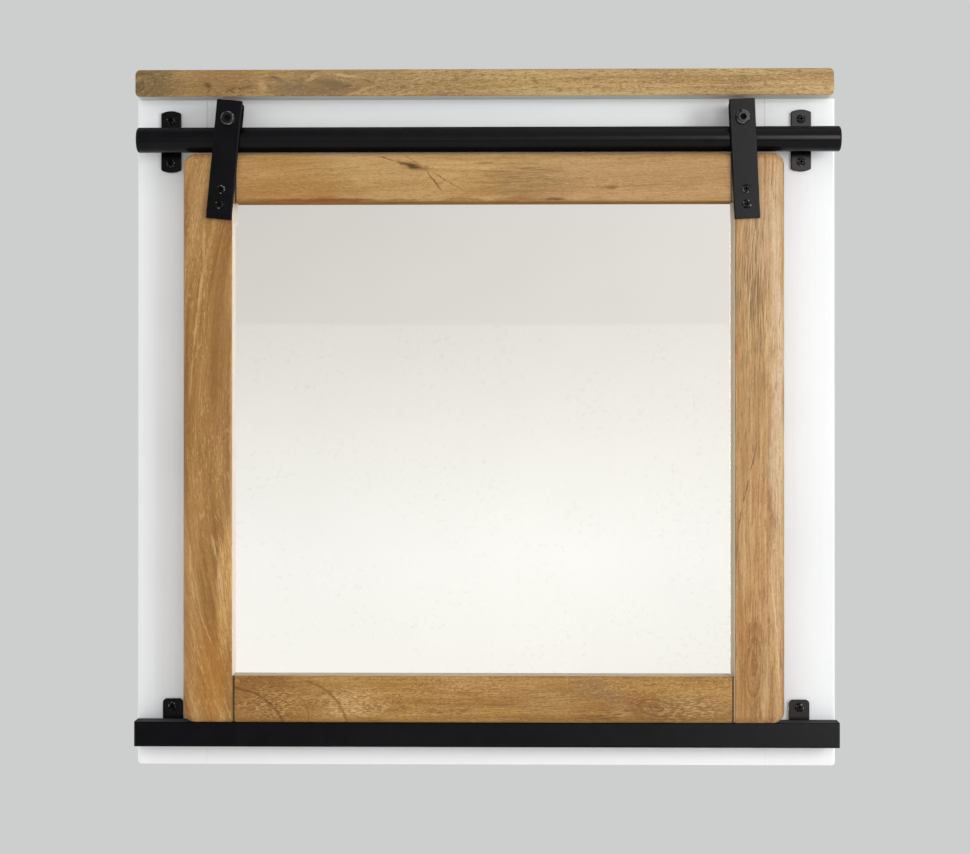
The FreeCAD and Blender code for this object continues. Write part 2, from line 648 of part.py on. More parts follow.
def bottom_bar():
    bar_back = BOARD_FRONT
    bar_front = f"({BOARD_FRONT} - Sizes.bar_size)"
    left_end = "(Sizes.bar_shift - Sizes.bar_length / 2)"
    right_end = "(Sizes.bar_shift + Sizes.bar_length / 2)"
    body = new_body("bottom_bar")
    block(body, "Additive", "outside", (left_end, bar_front, BAR_LOW), (right_end, bar_back, BAR_TOP))
    long_edges = set()
    for level in ("low", "top"):
        long_edges |= edges_on(body, "front", level) | edges_on(body, "back", level)
    soften(body, "Fillet", "rounded_edges", "Sizes.bar_edge", long_edges)
    low = (left_end, f"({bar_front} + Sizes.bar_wall)", f"({BAR_LOW} + Sizes.bar_wall)")
    high = (right_end, f"({bar_back} - Sizes.bar_wall)", f"({BAR_TOP} - Sizes.bar_wall)")
    block(body, "Subtractive", "hollow", low, high)
    for side in SIDES:
        plug = new_body(f"bar_plug_{side}")
        end = left_end if side == "left" else right_end
        outer = f"({end} {'-' if side == 'left' else '+'} Sizes.plug_flange)"
        inner = f"({end} {'+' if side == 'left' else '-'} Sizes.plug_depth)"
        flange_span = (outer, end) if side == "left" else (end, outer)
        plug_span = (end, inner) if side == "left" else (inner, end)
        flange_low = (flange_span[0], bar_front, BAR_LOW)
        block(plug, "Additive", "flange", flange_low, (flange_span[1], bar_back, BAR_TOP))
        corners = set()
        for level in ("low", "top"):
            corners |= edges_on(plug, "front", level) | edges_on(plug, "back", level)
        soften(plug, "Fillet", "corners", "Sizes.bar_edge", corners)
        gap = "(Sizes.bar_wall + Sizes.plug_slack)"
        plug_low = (plug_span[0], f"({bar_front} + {gap})", f"({BAR_LOW} + {gap})")
        plug_high = (plug_span[1], f"({bar_back} - {gap})", f"({BAR_TOP} - {gap})")
        block(plug, "Additive", "plug", plug_low, plug_high)
    screws = []
    for side in SIDES:
        tab = new_body(f"bar_tab_{side}")
        middle_x = mirrored(side, TAB_X)
        low = (f"({middle_x} - Sizes.tab_width / 2)", TAB_SEAT_Y, BAR_TOP)
        high = (f"({middle_x} + Sizes.tab_width / 2)", bar_back, f"({BAR_TOP} + Sizes.tab_height)")
        block(tab, "Additive", "plate", low, high)
        corners = edges_on(tab, "left", "top") | edges_on(tab, "right", "top")
        soften(tab, "Fillet", "corners", "Sizes.tab_corner", corners)
        radius = "Sizes.pan_shank_radius + Sizes.screw_slack"
        start = (middle_x, f"({bar_back} + {CUT_PAST})", TAB_SCREW_Z)
        rod(tab, "Subtractive", "screw_hole", radius, f"Sizes.tab_thick + 2 * {CUT_PAST}", start, "-y")
        seat = (middle_x, TAB_SEAT_Y, TAB_SCREW_Z)
        screws.append(pan_screw(f"tab_screw_{side}", "Sizes.pan_screw_length", seat, "-y"))
    group("tab_screws", screws)


# Tenons of the door's rails, from the rail's outer edge inwards
TENON_SPANS = {
    "top": (
        f"({DOOR_TOP} - Sizes.tenon_inset - Sizes.tenon_height)",
        f"({DOOR_TOP} - Sizes.tenon_inset)",
    ),
    "bottom": (
        f"({DOOR_LOW} + Sizes.tenon_inset)",
        f"({DOOR_LOW} + Sizes.tenon_inset + Sizes.tenon_height)",
    ),
}
TENON_FRONT = f"({DOOR_MIDDLE} - Sizes.tenon_thick / 2)"
TENON_BACK = f"({DOOR_MIDDLE} + Sizes.tenon_thick / 2)"


def strap_point(side, drop):
    """The x and z of a point on a strap's middle line, at a distance below the axle."""
    x = f"({AXLE_X[side]} - {drop} * sin({LEAN[side]}))"
    z = f"({AXLE_Z} - {drop} * cos({LEAN[side]}))"
    return x, z


STRAP_SCREW_DROPS = (
    "(Sizes.strap_drop - Sizes.strap_screw_end - Sizes.strap_screw_pitch)",
    "(Sizes.strap_drop - Sizes.strap_screw_end)",
)


def clip_places():
    """Screw place, place on the seam and direction towards the glass of each backing clip."""
    rebate = "Sizes.rebate_width"
    places = []
    for sign in ("-", "+"):
        height = f"({OPENING_MIDDLE_Z} {sign} Sizes.clip_spread)"
        places.append((f"({OPENING_LEFT} - {rebate})", height, "+x"))
        places.append((f"({OPENING_RIGHT} + {rebate})", height, "-x"))
        middle = f"(({OPENING_LEFT} + {OPENING_RIGHT}) / 2 {sign} Sizes.clip_spread)"
        places.append((middle, f"({OPENING_TOP} + {rebate})", "-z"))
        places.append((middle, f"({OPENING_LOW} - {rebate})", "+z"))
    return places


def clip_screw_place(place):
    """The x and z of a clip's screw, on the frame beside the seam."""
    x, z, inward = place
    away = {"+x": "-", "-x": "+", "+z": "-", "-z": "+"}[inward]
    if inward.endswith("x"):
        return f"({x} {away} Sizes.clip_screw_offset)", z
    return x, f"({z} {away} Sizes.clip_screw_offset)"


CLIP_SEAT_Y = f"({DOOR_BACK} + Sizes.clip_thick)"


def drill_clip_pilots(body, inward):
    """Holes in a door member for the screws of the clips that point inwards from it."""
    for number, place in enumerate(clip_places()):
        if place[2] == inward:
            x, z = clip_screw_place(place)
            pilot(body, f"clip_pilot_{number}", "Sizes.clip_screw_length", (x, CLIP_SEAT_Y, z), "-y")


def door_stile(side):
    body = new_body(f"door_stile_{side}")
    inner = OTHER_SIDE[side]
    low_x, high_x = (DOOR_LEFT, OPENING_LEFT) if side == "left" else (OPENING_RIGHT, DOOR_RIGHT)
    block(body, "Additive", "board", (low_x, DOOR_FRONT, DOOR_LOW), (high_x, DOOR_BACK, DOOR_TOP))
    corners = edges_on(body, side, "low") | edges_on(body, side, "top")
    soften(body, "Fillet", "corners", "Sizes.door_corner", corners)
    outline = edges_on(body, "front") - edges_on(body, "front", inner)
    soften(body, "Fillet", "front_round", "Sizes.door_round", outline)
    outline = edges_on(body, "back") - edges_on(body, "back", inner)
    soften(body, "Fillet", "back_round", "Sizes.door_back_round", outline)
    soften(body, "Chamfer", "inner_bevel", "Sizes.joint_bevel", edges_on(body, "front", inner))
    edge = OPENING_LEFT if side == "left" else OPENING_RIGHT
    away = "-" if side == "left" else "+"
    rebate_edge = f"({edge} {away} Sizes.rebate_width)"
    rebate_x = (rebate_edge, edge) if side == "left" else (edge, rebate_edge)
    low = (rebate_x[0], GLASS_FRONT, f"({OPENING_LOW} - Sizes.rebate_width)")
    high = (rebate_x[1], DOOR_BACK, f"({OPENING_TOP} + Sizes.rebate_width)")
    block(body, "Subtractive", "rebate", low, high)
    slack = "Sizes.tenon_slack"
    mortise_end = f"({edge} {away} (Sizes.tenon_length + {slack}))"
    mortise_x = (mortise_end, edge) if side == "left" else (edge, mortise_end)
    for name, (tenon_low, tenon_top) in TENON_SPANS.items():
        low = (mortise_x[0], f"({TENON_FRONT} - {slack})", f"({tenon_low} - {slack})")
        high = (mortise_x[1], f"({TENON_BACK} + {slack})", f"({tenon_top} + {slack})")
        block(body, "Subtractive", f"mortise_{name}", low, high)
    for number, drop in enumerate(STRAP_SCREW_DROPS):
        x, z = strap_point(side, drop)
        pilot(body, f"strap_pilot_{number}", "Sizes.pan_screw_length", (x, STRAP_FRONT, z), "+y")
    drill_clip_pilots(body, "+x" if side == "left" else "-x")


def door_rail(name, end, low_z, high_z, outer, inner):
    body = new_body(name)
    block(body, "Additive", "board", (OPENING_LEFT, DOOR_FRONT, low_z), (OPENING_RIGHT, DOOR_BACK, high_z))
    soften(body, "Fillet", "front_round", "Sizes.door_round", edges_on(body, "front", outer))
    soften(body, "Fillet", "back_round", "Sizes.door_back_round", edges_on(body, "back", outer))
    bevels = edges_on(body, "front", inner)
    bevels |= edges_on(body, "front", "left") | edges_on(body, "front", "right")
    soften(body, "Chamfer", "joint_bevels", "Sizes.joint_bevel", bevels)
    tenon_low, tenon_top = TENON_SPANS[end]
    for side, start, stop in (
        ("left", f"({OPENING_LEFT} - Sizes.tenon_length)", OPENING_LEFT),
        ("right", OPENING_RIGHT, f"({OPENING_RIGHT} + Sizes.tenon_length)"),
    ):
        low = (start, TENON_FRONT, tenon_low)
        high = (stop, TENON_BACK, tenon_top)
        block(body, "Additive", f"tenon_{side}", low, high)
    rebate_z = {
        "top": (OPENING_TOP, f"({OPENING_TOP} + Sizes.rebate_width)"),
        "bottom": (f"({OPENING_LOW} - Sizes.rebate_width)", OPENING_LOW),
    }[end]
    low = (OPENING_LEFT, GLASS_FRONT, rebate_z[0])
    block(body, "Subtractive", "rebate", low, (OPENING_RIGHT, DOOR_BACK, rebate_z[1]))
    drill_clip_pilots(body, "-z" if end == "top" else "+z")


def glass_and_backing():
    room = "(Sizes.rebate_width - Sizes.glass_slack)"
    for label, front, back in (
        ("mirror_glass", GLASS_FRONT, BACKING_FRONT),
        ("backing_board", BACKING_FRONT, DOOR_BACK),
    ):
        panel = doc.addObject("Part::Box", label)
        panel.Label = label
        nodes.append(panel)
        low = (f"({OPENING_LEFT} - {room})", front, f"({OPENING_LOW} - {room})")
        high = (f"({OPENING_RIGHT} + {room})", back, f"({OPENING_TOP} + {room})")
        move_to(panel, low)
        for size, start, end in zip(("Length", "Width", "Height"), low, high):
            panel.setExpression(size, f"{end} - {start}")


def backing_clips():
    clips = []
    screws = []
    half_width, half_length = "(Sizes.clip_width / 2)", "(Sizes.clip_length / 2)"
    for number, place in enumerate(clip_places()):
        x, z, inward = place
        wide, tall = (half_length, half_width) if inward.endswith("x") else (half_width, half_length)
        clip = new_body(f"backing_clip_{number}", is_node=False)
        low = (f"({x} - {wide})", DOOR_BACK, f"({z} - {tall})")
        block(clip, "Additive", "plate", low, (f"({x} + {wide})", CLIP_SEAT_Y, f"({z} + {tall})"))
        corners = set()
        for side in SIDES:
            corners |= edges_on(clip, side, "low") | edges_on(clip, side, "top")
        soften(clip, "Fillet", "corners", "Sizes.clip_corner", corners)
        screw_x, screw_z = clip_screw_place(place)
        radius = "Sizes.pan_shank_radius + Sizes.screw_slack"
        start = (screw_x, f"({DOOR_BACK} - {CUT_PAST})", screw_z)
        rod(clip, "Subtractive", "screw_hole", radius, f"Sizes.clip_thick + 2 * {CUT_PAST}", start, "+y")
        clips.append(clip)
        seat = (screw_x, CLIP_SEAT_Y, screw_z)
        screws.append(pan_screw(f"clip_screw_{number}", "Sizes.clip_screw_length", seat, "+y"))
    group("backing_clips", clips)
    group("clip_screws", screws)


def hanger_strap(side):
    """A flat bar bent over the roller. Its own origin is on the axle, above the tube's axis."""
    body = new_body(f"hanger_strap_{side}")
    half_width = "(Sizes.strap_width / 2)"
    top = "(Sizes.roller_radius + Sizes.bridge_gap + Sizes.strap_thick)"
    front = f"({STRAP_REACH} + Sizes.strap_thick)"
    low = (f"(-{half_width})", f"(-{front})", "(-Sizes.strap_drop)")
    block(body, "Additive", "front_leg", low, (half_width, f"(-{STRAP_REACH})", top))
    soften(body, "Fillet", "eased_edges", "Sizes.strap_edge", edges_on(body, "front"))
    bridge_low = "(Sizes.roller_radius + Sizes.bridge_gap)"
    corners = (
        (f"(-{STRAP_REACH})", bridge_low),
        (STRAP_REACH, bridge_low),
        (STRAP_REACH, "(-Sizes.tongue_drop)"),
        (front, "(-Sizes.tongue_drop)"),
        (front, top),
        (f"(-{STRAP_REACH})", top),
    )
    profile = plane_sketch(body, "YZ_Plane", f"tongue_profile_{side}")
    draw_outline(profile, corners, {})
    tongue = body.newObject("PartDesign::Pad", "tongue")
    tongue.Profile = profile
    tongue.Midplane = True
    tongue.setExpression("Length", "Sizes.tongue_width")
    soften(body, "Fillet", "bend", "Sizes.tongue_bend", edges_on(body, "back", "top"))
    through = f"2 * {front} + 2 * {CUT_PAST}"
    start = ("0", f"({front} + {CUT_PAST})", "0")
    rod(body, "Subtractive", "axle_hole", "Sizes.bolt_radius + Sizes.bolt_slack", through, start, "-y")
    for number, drop in enumerate(STRAP_SCREW_DROPS):
        radius = "Sizes.pan_shank_radius + Sizes.screw_slack"
        start = ("0", f"(-{STRAP_REACH} + {CUT_PAST})", f"(-{drop})")
        depth = f"Sizes.strap_thick + 2 * {CUT_PAST}"
        rod(body, "Subtractive", f"screw_hole_{number}", radius, depth, start, "-y")
    move_to(body, (AXLE_X[side], TUBE_Y, AXLE_Z))
    body.Placement.Rotation = Rotation(Vector(0, 1, 0), 1)
    body.setExpression("Placement.Rotation.Angle", LEAN[side])


def strap_screws():
    screws = []
    for side in SIDES:
        for number, drop in enumerate(STRAP_SCREW_DROPS):
            x, z = strap_point(side, drop)
            name = f"strap_screw_{side}_{number}"
            screws.append(pan_screw(name, "Sizes.pan_screw_length", (x, STRAP_FRONT, z), "-y"))
    group("strap_screws", screws)


def roller(side):
    """A grooved wheel. Its own Z axis is the axle, and its groove follows the tube."""
    body = new_body(f"roller_{side}")
    half_width = f"({STRAP_REACH} - Sizes.roller_side_gap)"
    back_end = ("0", "0", f"(-{half_width})")
    rod(body, "Additive", "wheel", "Sizes.roller_radius", f"2 * {half_width}", back_end, "+z")
    groove = body.newObject("PartDesign::SubtractiveTorus", "groove")
    groove.setExpression("Radius2", "Sizes.tube_radius + Sizes.roller_gap")
    groove.setExpression("Radius1", "Sizes.roller_throat + Sizes.tube_radius + Sizes.roller_gap")
    bore = "Sizes.bolt_radius + Sizes.roller_bore_slack"
    rod(body, "Subtractive", "bore", bore, f"2 * {half_width}", back_end, "+z")
    move_to(body, (AXLE_X[side], TUBE_Y, AXLE_Z), "-y")


def axle_bolt(side):
    """A button-head bolt with a hexagon socket. Its own origin is where the head sits."""
    body = new_body(f"axle_bolt_{side}")
    rod(body, "Additive", "head", "Sizes.bolt_head_radius", "Sizes.bolt_head_height", ("0", "0", "0"), "+z")
    soften(body, "Fillet", "dome", "Sizes.bolt_head_round", edges_on(body, "top"))
    grip = f"2 * Sizes.strap_thick + 2 * {STRAP_REACH} + Sizes.nut_height"
    rod(body, "Additive", "shank", "Sizes.bolt_radius", grip, ("0", "0", "0"), "-z")
    socket_floor = ("0", "0", "(Sizes.bolt_head_height - Sizes.socket_depth)")
    hexagon(body, "Subtractive", "socket", "Sizes.socket_radius", "Sizes.socket_depth", socket_floor, "+z")
    move_to(body, (AXLE_X[side], STRAP_FRONT, AXLE_Z), "-y")


def axle_nut(side):
    body = new_body(f"axle_nut_{side}")
    hexagon(body, "Additive", "hexagon", "Sizes.nut_radius", "Sizes.nut_height", ("0", "0", "0"), "+z")
    bore = "Sizes.bolt_radius + Sizes.nut_slack"
    rod(body, "Subtractive", "bore", bore, "Sizes.nut_height", ("0", "0", "0"), "+z")
    move_to(body, (AXLE_X[side], TONGUE_BACK, AXLE_Z), "+y")


for stile_side in SIDES:
    white_stile(stile_side)
white_rail("white_top_rail", f"({BOARD_TOP} - Sizes.rail_height)", BOARD_TOP, "low", True)
white_rail("white_bottom_rail", BOARD_LOW, f"({BOARD_LOW} + Sizes.rail_height)", "low", False)
frame_dowels()
cornice()
keyhole_plates()
tube_rail()
rail_brackets()
bottom_bar()
for stile_side in SIDES:
    door_stile(stile_side)
door_rail("door_top_rail", "top", OPENING_TOP, DOOR_TOP, "top", "low")
door_rail("door_bottom_rail", "bottom", DOOR_LOW, OPENING_LOW, "low", "top")
glass_and_backing()
backing_clips()
for hanger_side in SIDES:
    hanger_strap(hanger_side)
    axle_bolt(hanger_side)
    axle_nut(hanger_side)
    roller(hanger_side)
strap_screws()
doc.recompute()

for item in doc.Objects:
    if "Invalid" in item.State or "Error" in item.State:
        raise RuntimeError(f"{item.Label} failed: {item.State}")
for node in nodes:
    if node.Shape.isNull() or not node.Shape.isValid():
        raise RuntimeError(f"{node.Label} has no valid shape")
os.makedirs("parts", exist_ok=True)
for node in nodes:
    node.Shape.exportStep(f"parts/{node.Label}.step")
    print(node.Label, len(node.Shape.Solids), round(node.Shape.Volume, 1))
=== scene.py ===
import math

import bpy
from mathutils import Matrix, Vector


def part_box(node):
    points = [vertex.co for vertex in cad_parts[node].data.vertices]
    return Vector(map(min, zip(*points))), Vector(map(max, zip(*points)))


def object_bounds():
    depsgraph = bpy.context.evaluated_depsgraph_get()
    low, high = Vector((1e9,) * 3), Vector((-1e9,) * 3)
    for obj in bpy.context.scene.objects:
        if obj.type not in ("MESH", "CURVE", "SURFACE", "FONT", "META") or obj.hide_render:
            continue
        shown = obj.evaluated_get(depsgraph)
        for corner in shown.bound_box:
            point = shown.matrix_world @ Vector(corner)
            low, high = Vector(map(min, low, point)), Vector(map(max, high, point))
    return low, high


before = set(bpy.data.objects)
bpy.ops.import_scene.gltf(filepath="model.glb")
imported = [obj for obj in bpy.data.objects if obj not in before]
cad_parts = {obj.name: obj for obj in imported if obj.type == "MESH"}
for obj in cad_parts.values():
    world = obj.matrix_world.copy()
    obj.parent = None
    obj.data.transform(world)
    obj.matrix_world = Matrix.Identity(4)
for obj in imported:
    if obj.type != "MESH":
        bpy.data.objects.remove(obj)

cad_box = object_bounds()
scene = bpy.context.scene
scene.view_settings.view_transform = "Standard"

# The part's axes along, across and into a member that runs sideways or upright
MEMBER_AXES = {"sideways": ("X", "Z", "Y"), "upright": ("Z", "X", "Y")}
# Directions in the part's frame
LEFT, RIGHT = (-1, 0, 0), (1, 0, 0)
DOWN, UP = (0, 0, -1), (0, 0, 1)
FORWARD = (0, -1, 0)


def linear(red, green, blue):
    """A colour written in 0 to 255 screen values, as linear light with full alpha."""
    values = []
    for channel in (red, green, blue):
        share = channel / 255
        values.append(share / 12.92 if share <= 0.04045 else ((share + 0.055) / 1.055) ** 2.4)
    return (*values, 1.0)


class Graph:
    """Short calls for the nodes of one node tree."""

    NOISE_DETAIL = 3.0

    def __init__(self, tree):
        self.tree = tree
        tree.nodes.clear()

    def join(self, source, target):
        self.tree.links.new(source, target)

    def feed(self, socket, value):
        """Links a node's output to a socket, or writes a constant on it."""
        if isinstance(value, bpy.types.NodeSocket):
            self.join(value, socket)
        else:
            socket.default_value = value

    def split(self, vector):
        node = self.tree.nodes.new("ShaderNodeSeparateXYZ")
        self.join(vector, node.inputs[0])
        return {axis: node.outputs[axis] for axis in "XYZ"}

    def combine(self, first, second, third):
        node = self.tree.nodes.new("ShaderNodeCombineXYZ")
        for socket, value in zip(node.inputs, (first, second, third)):
            self.feed(socket, value)
        return node.outputs[0]

    def math(self, operation, first, second=0.0, third=0.0):
        node = self.tree.nodes.new("ShaderNodeMath")
        node.operation = operation
        for socket, value in zip(node.inputs, (first, second, third)):
            self.feed(socket, value)
        return node.outputs[0]

    def times(self, *values):
        product = values[0]
        for value in values[1:]:
            product = self.math("MULTIPLY", product, value)
        return product

    def off(self, value, middle):
        """How far a value is from a middle one."""
        return self.math("ABSOLUTE", self.math("SUBTRACT", value, middle))

    def vector(self, operation, first, second=(0, 0, 0)):
        node = self.tree.nodes.new("ShaderNodeVectorMath")
        node.operation = operation
        self.feed(node.inputs[0], first)
        self.feed(node.inputs[1], second)
        return node.outputs["Value" if operation in ("DOT_PRODUCT", "LENGTH") else "Vector"]

    def noise(self, vector, scale=1.0, detail=NOISE_DETAIL, roughness=0.5, colour=False):
        node = self.tree.nodes.new("ShaderNodeTexNoise")
        self.feed(node.inputs["Vector"], vector)
        node.inputs["Scale"].default_value = scale
        node.inputs["Detail"].default_value = detail
        node.inputs["Roughness"].default_value = roughness
        return node.outputs["Color" if colour else "Fac"]

    def bands(self, position, scale):
        """Uneven stripes along one value."""
        node = self.tree.nodes.new("ShaderNodeTexNoise")
        node.noise_dimensions = "1D"
        self.feed(node.inputs["W"], position)
        node.inputs["Scale"].default_value = scale
        node.inputs["Detail"].default_value = self.NOISE_DETAIL
        return node.outputs["Fac"]

    def between(self, value, low, high, first=0.0, last=1.0):
        """A value spread from first to last, smoothly, as it goes from low to high."""
        node = self.tree.nodes.new("ShaderNodeMapRange")
        node.interpolation_type = "SMOOTHSTEP"
        self.feed(node.inputs["Value"], value)
        node.inputs["From Min"].default_value = low
        node.inputs["From Max"].default_value = high
        node.inputs["To Min"].default_value = first
        node.inputs["To Max"].default_value = last
        return node.outputs["Result"]

    def mix(self, share, first, second, blend="MIX"):
        node = self.tree.nodes.new("ShaderNodeMix")
        node.data_type = "RGBA"
        node.blend_type = blend
        self.feed(node.inputs["Factor"], share)
        self.feed(node.inputs["A"], first)
        self.feed(node.inputs["B"], second)
        return node.outputs["Result"]

    def ramp(self, value, stops):
        node = self.tree.nodes.new("ShaderNodeValToRGB")
        self.feed(node.inputs["Fac"], value)
        points = node.color_ramp.elements
        while len(points) < len(stops):
            points.new(0.5)
        for point, (place, colour) in zip(points, stops):
            point.position = place
            point.color = colour
        return node.outputs["Color"]

    def oval(self, vector, centre, radii, turn=0.0):
        """Distance from a centre in units of an oval's radii. The first two axes count."""
        node = self.tree.nodes.new("ShaderNodeMapping")
        node.vector_type = "TEXTURE"
        self.feed(node.inputs["Vector"], vector)
        node.inputs["Location"].default_value = (*centre, 0)
        node.inputs["Rotation"].default_value = (0, 0, math.radians(turn))
        node.inputs["Scale"].default_value = (*radii, 1)
        return self.vector("LENGTH", self.vector("MULTIPLY", node.outputs[0], (1, 1, 0)))


class Paint(Graph):
    """One procedural material."""

    # Cosines of the angle to a direction, between which a face starts to count as turned there
    TURNING = (0.75, 0.9)

    def __init__(self, name):
        self.material = bpy.data.materials.new(name)
        self.material.use_nodes = True
        super().__init__(self.material.node_tree)
        output = self.tree.nodes.new("ShaderNodeOutputMaterial")
        self.shader = self.tree.nodes.new("ShaderNodeBsdfPrincipled")
        self.join(self.shader.outputs["BSDF"], output.inputs["Surface"])

    def place(self):
        """The point on the surface in the part's own frame, in metres."""
        return self.tree.nodes.new("ShaderNodeTexCoord").outputs["Object"]

    def facing(self, direction):
        """How far the surface turns towards a direction, from -1 to 1."""
        normal = self.tree.nodes.new("ShaderNodeNewGeometry").outputs["Normal"]
        return self.vector("DOT_PRODUCT", normal, direction)

    def turned(self, direction):
        """1 on faces that turn towards a direction, 0 on the others."""
        return self.between(self.facing(direction), *self.TURNING)

    def bump(self, height, distance, strength):
        node = self.tree.nodes.new("ShaderNodeBump")
        self.feed(node.inputs["Height"], height)
        node.inputs["Distance"].default_value = distance
        node.inputs["Strength"].default_value = strength
        self.join(node.outputs[0], self.shader.inputs["Normal"])

    def finish(self, colour, roughness, metallic=0.0, specular=0.5):
        self.feed(self.shader.inputs["Base Color"], colour)
        self.feed(self.shader.inputs["Roughness"], roughness)
        self.feed(self.shader.inputs["Metallic"], metallic)
        self.shader.inputs["Specular IOR Level"].default_value = specular
        return self.material


def dress(material, *nodes):
    """Gives CAD nodes one material."""
    for node in nodes:
        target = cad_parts[node]
        target.data.materials.clear()
        target.data.materials.append(material)


class Wood(Paint):
    """Planed and oiled wood with its grain along a member.

    A place is along and across the member, in metres. A share says how much of a tint shows, from 0 to 1.
    """

    # How far a seed moves the noise along, across and into the member
    SEED_STEPS = (1.7, 0.9, 0.4)
    # How far growth rings lean into the board
    RING_TILT = 0.6
    # Kinds of small mark, each with an offset into the noise and a scale across the grain
    MARKS = (("speck", 0.0, 760), ("dash", 1.9, 720), ("fleck", 4.3, 640))
    # How far past its threshold the noise gives a mark its full strength
    MARK_EDGE = 0.1
    # Where each kind of tint starts to fade and where it ends, in units of its oval's radii
    ZONE_FADE = (0.35, 1.15)
    SCORE_FADE = (0.3, 1.1)
    STREAK_FADE = (0.3, 1.0)
    CRACK_FADE = (0.4, 1.0)
    FIGURE_FADE = (0.4, 1.0)
    # Scale of scores across the grain
    SCORE_SCALE = 1250
    # Length in metres over which an arc begins
    ARC_BEGINNING = 0.02
    # A joint's painted edge highlight fades and its groove reaches over these lengths in metres
    EDGE_HIGHLIGHT_FADE = 0.001
    GROOVE_REACH = (0.0005, 0.0016)
    WORN_COLOUR, WORN_SHARE = linear(206, 180, 146), 0.6
    GROOVE_COLOUR, GROOVE_SHARE = linear(44, 16, 2), 0.9
    # How much duller the fibres are than the wood between them
    FIBRE_DULLNESS = 0.16

    def __init__(self, name, run, seed, look):
        super().__init__(name)
        self.look = look
        axes = self.split(self.place())
        self.along, across, deep = (axes[letter] for letter in MEMBER_AXES[run])
        self.here = self.combine(self.along, across, deep)
        self.seed = tuple(seed * step for step in self.SEED_STEPS)
        self.moved = self.vector("ADD", self.here, self.seed)
        self.cloudy = self.strayed(scale=(26, 70, 70), reach=(0.05, 0.02, 0))
        self.ragged = self.strayed(scale=(90, 320, 320), reach=(0.012, 0.005, 0))
        self.frayed = self.strayed(scale=(90, 320, 320), reach=(0.004, 0.0035, 0))
        self.wavy = self.vector("ADD", self.flow(), self.seed)
        self.colour = self.ground()
        self.dull = None

    def strayed(self, scale, reach):
        """Places pushed about by noise, so that what is drawn there has an uneven edge."""
        push = self.noise(self.vector("MULTIPLY", self.moved, scale), colour=True)
        push = self.vector("SUBTRACT", push, (0.5, 0.5, 0.5))
        return self.vector("ADD", self.here, self.vector("MULTIPLY", push, reach))

    def flow(self):
        """Places that follow the grain where it leans, bows and sways."""
        sway = self.look["sway"]
        swayed = self.strayed(scale=(5, 16, 16), reach=(0.004, sway, sway))
        slope = self.math("MULTIPLY_ADD", self.along, self.look["bow"], self.look["lean"])
        return self.vector("SUBTRACT", swayed, self.combine(0.0, self.times(slope, self.along), 0.0))

    def grain(self, source, long_scale, cross_scale, detail=2.0, roughness=0.5):
        """Noise drawn out along the grain."""
        stretched = self.vector("MULTIPLY", source, (long_scale, cross_scale, cross_scale))
        return self.noise(stretched, 1.0, detail, roughness)

    def ground(self):
        """Growth bands, broad patches and streaks along the grain."""
        look = self.look
        wavy = self.split(self.wavy)
        rings = self.bands(self.math("MULTIPLY_ADD", wavy["Z"], self.RING_TILT, wavy["Y"]), look["rings"])
        patches = self.grain(self.moved, long_scale=7, cross_scale=24, detail=3.0)
        streaks = self.grain(
            self.wavy, long_scale=look["streak_run"], cross_scale=look["streak_width"],
            detail=4.0, roughness=0.6,
        )
        tone = self.math("MULTIPLY_ADD", rings, look["ring_share"], self.times(streaks, look["streak_share"]))
        tone = self.math("MULTIPLY_ADD", patches, 1 - look["ring_share"] - look["streak_share"], tone)
        stops = ((0.0, look["dark"]), (0.5, look["middle"]), (1.0, look["pale"]))
        return self.ramp(self.between(tone, 0.35, 0.65), stops)

    def tint(self, share, colour, blend="MIX"):
        self.colour = self.mix(share, self.colour, colour, blend)

    def zone(self, centre, radii, colour, share, turn=0.0):
        """A broad soft tint. Zones come before the pores."""
        reach = self.oval(self.cloudy, centre, radii, turn)
        self.tint(self.between(reach, *self.ZONE_FADE, share, 0.0), linear(*colour))

    def pores(self):
        """Fibres and grit, then dark specks and dashes and pale flecks, crowded in some places."""
        look = self.look
        self.fibres = self.grain(self.wavy, long_scale=22, cross_scale=620, detail=4.0, roughness=0.6)
        self.tint(self.between(self.fibres, 0.36, 0.66, 0.0, look["fibre_share"]), look["fibre"], "MULTIPLY")
        grit = self.grain(self.moved, long_scale=300, cross_scale=900, roughness=0.6)
        self.tint(self.between(grit, 0.38, 0.6, look["grit_share"], 0.0), look["fibre"], "MULTIPLY")
        crowd = self.grain(self.moved, long_scale=10, cross_scale=34)
        crowd = self.between(crowd, 0.36, 0.62, look["even"], 1.0)
        marks = {}
        for mark, offset, cross_scale in self.MARKS:
            source = self.vector("ADD", self.wavy, (offset, offset, 0))
            spread = self.grain(source, look[f"{mark}_run"], cross_scale)
            threshold = look[f"{mark}_from"]
            spots = self.between(spread, threshold, threshold + self.MARK_EDGE)
            marks[mark] = self.times(spots, crowd, look[f"{mark}_share"])
            self.tint(marks[mark], look[mark])
        self.hollows = self.math("ADD", marks["speck"], marks["dash"])

    def scores(self, centre, radii, run, colour, share):
        """Many fine lines along the grain, within an oval."""
        within = self.between(self.oval(self.cloudy, centre, radii), *self.SCORE_FADE, share, 0.0)
        lines = self.between(self.grain(self.wavy, run, self.SCORE_SCALE), 0.51, 0.6)
        self.tint(self.times(lines, within), linear(*colour))

    def streak(self, centre, radii, colour, share, turn=0.0):
        """A ragged stain."""
        reach = self.oval(self.ragged, centre, radii, turn)
        self.tint(self.between(reach, *self.STREAK_FADE, share, 0.0), linear(*colour))

    def crack(self, start, end, width, colour, share):
        """A thin line between two places."""
        run = (end[0] - start[0], end[1] - start[1])
        centre = ((start[0] + end[0]) / 2, (start[1] + end[1]) / 2)
        turn = math.degrees(math.atan2(run[1], run[0]))
        reach = self.oval(self.frayed, centre, (math.hypot(*run) / 2, width), turn)
        self.tint(self.between(reach, *self.CRACK_FADE, share, 0.0), linear(*colour))

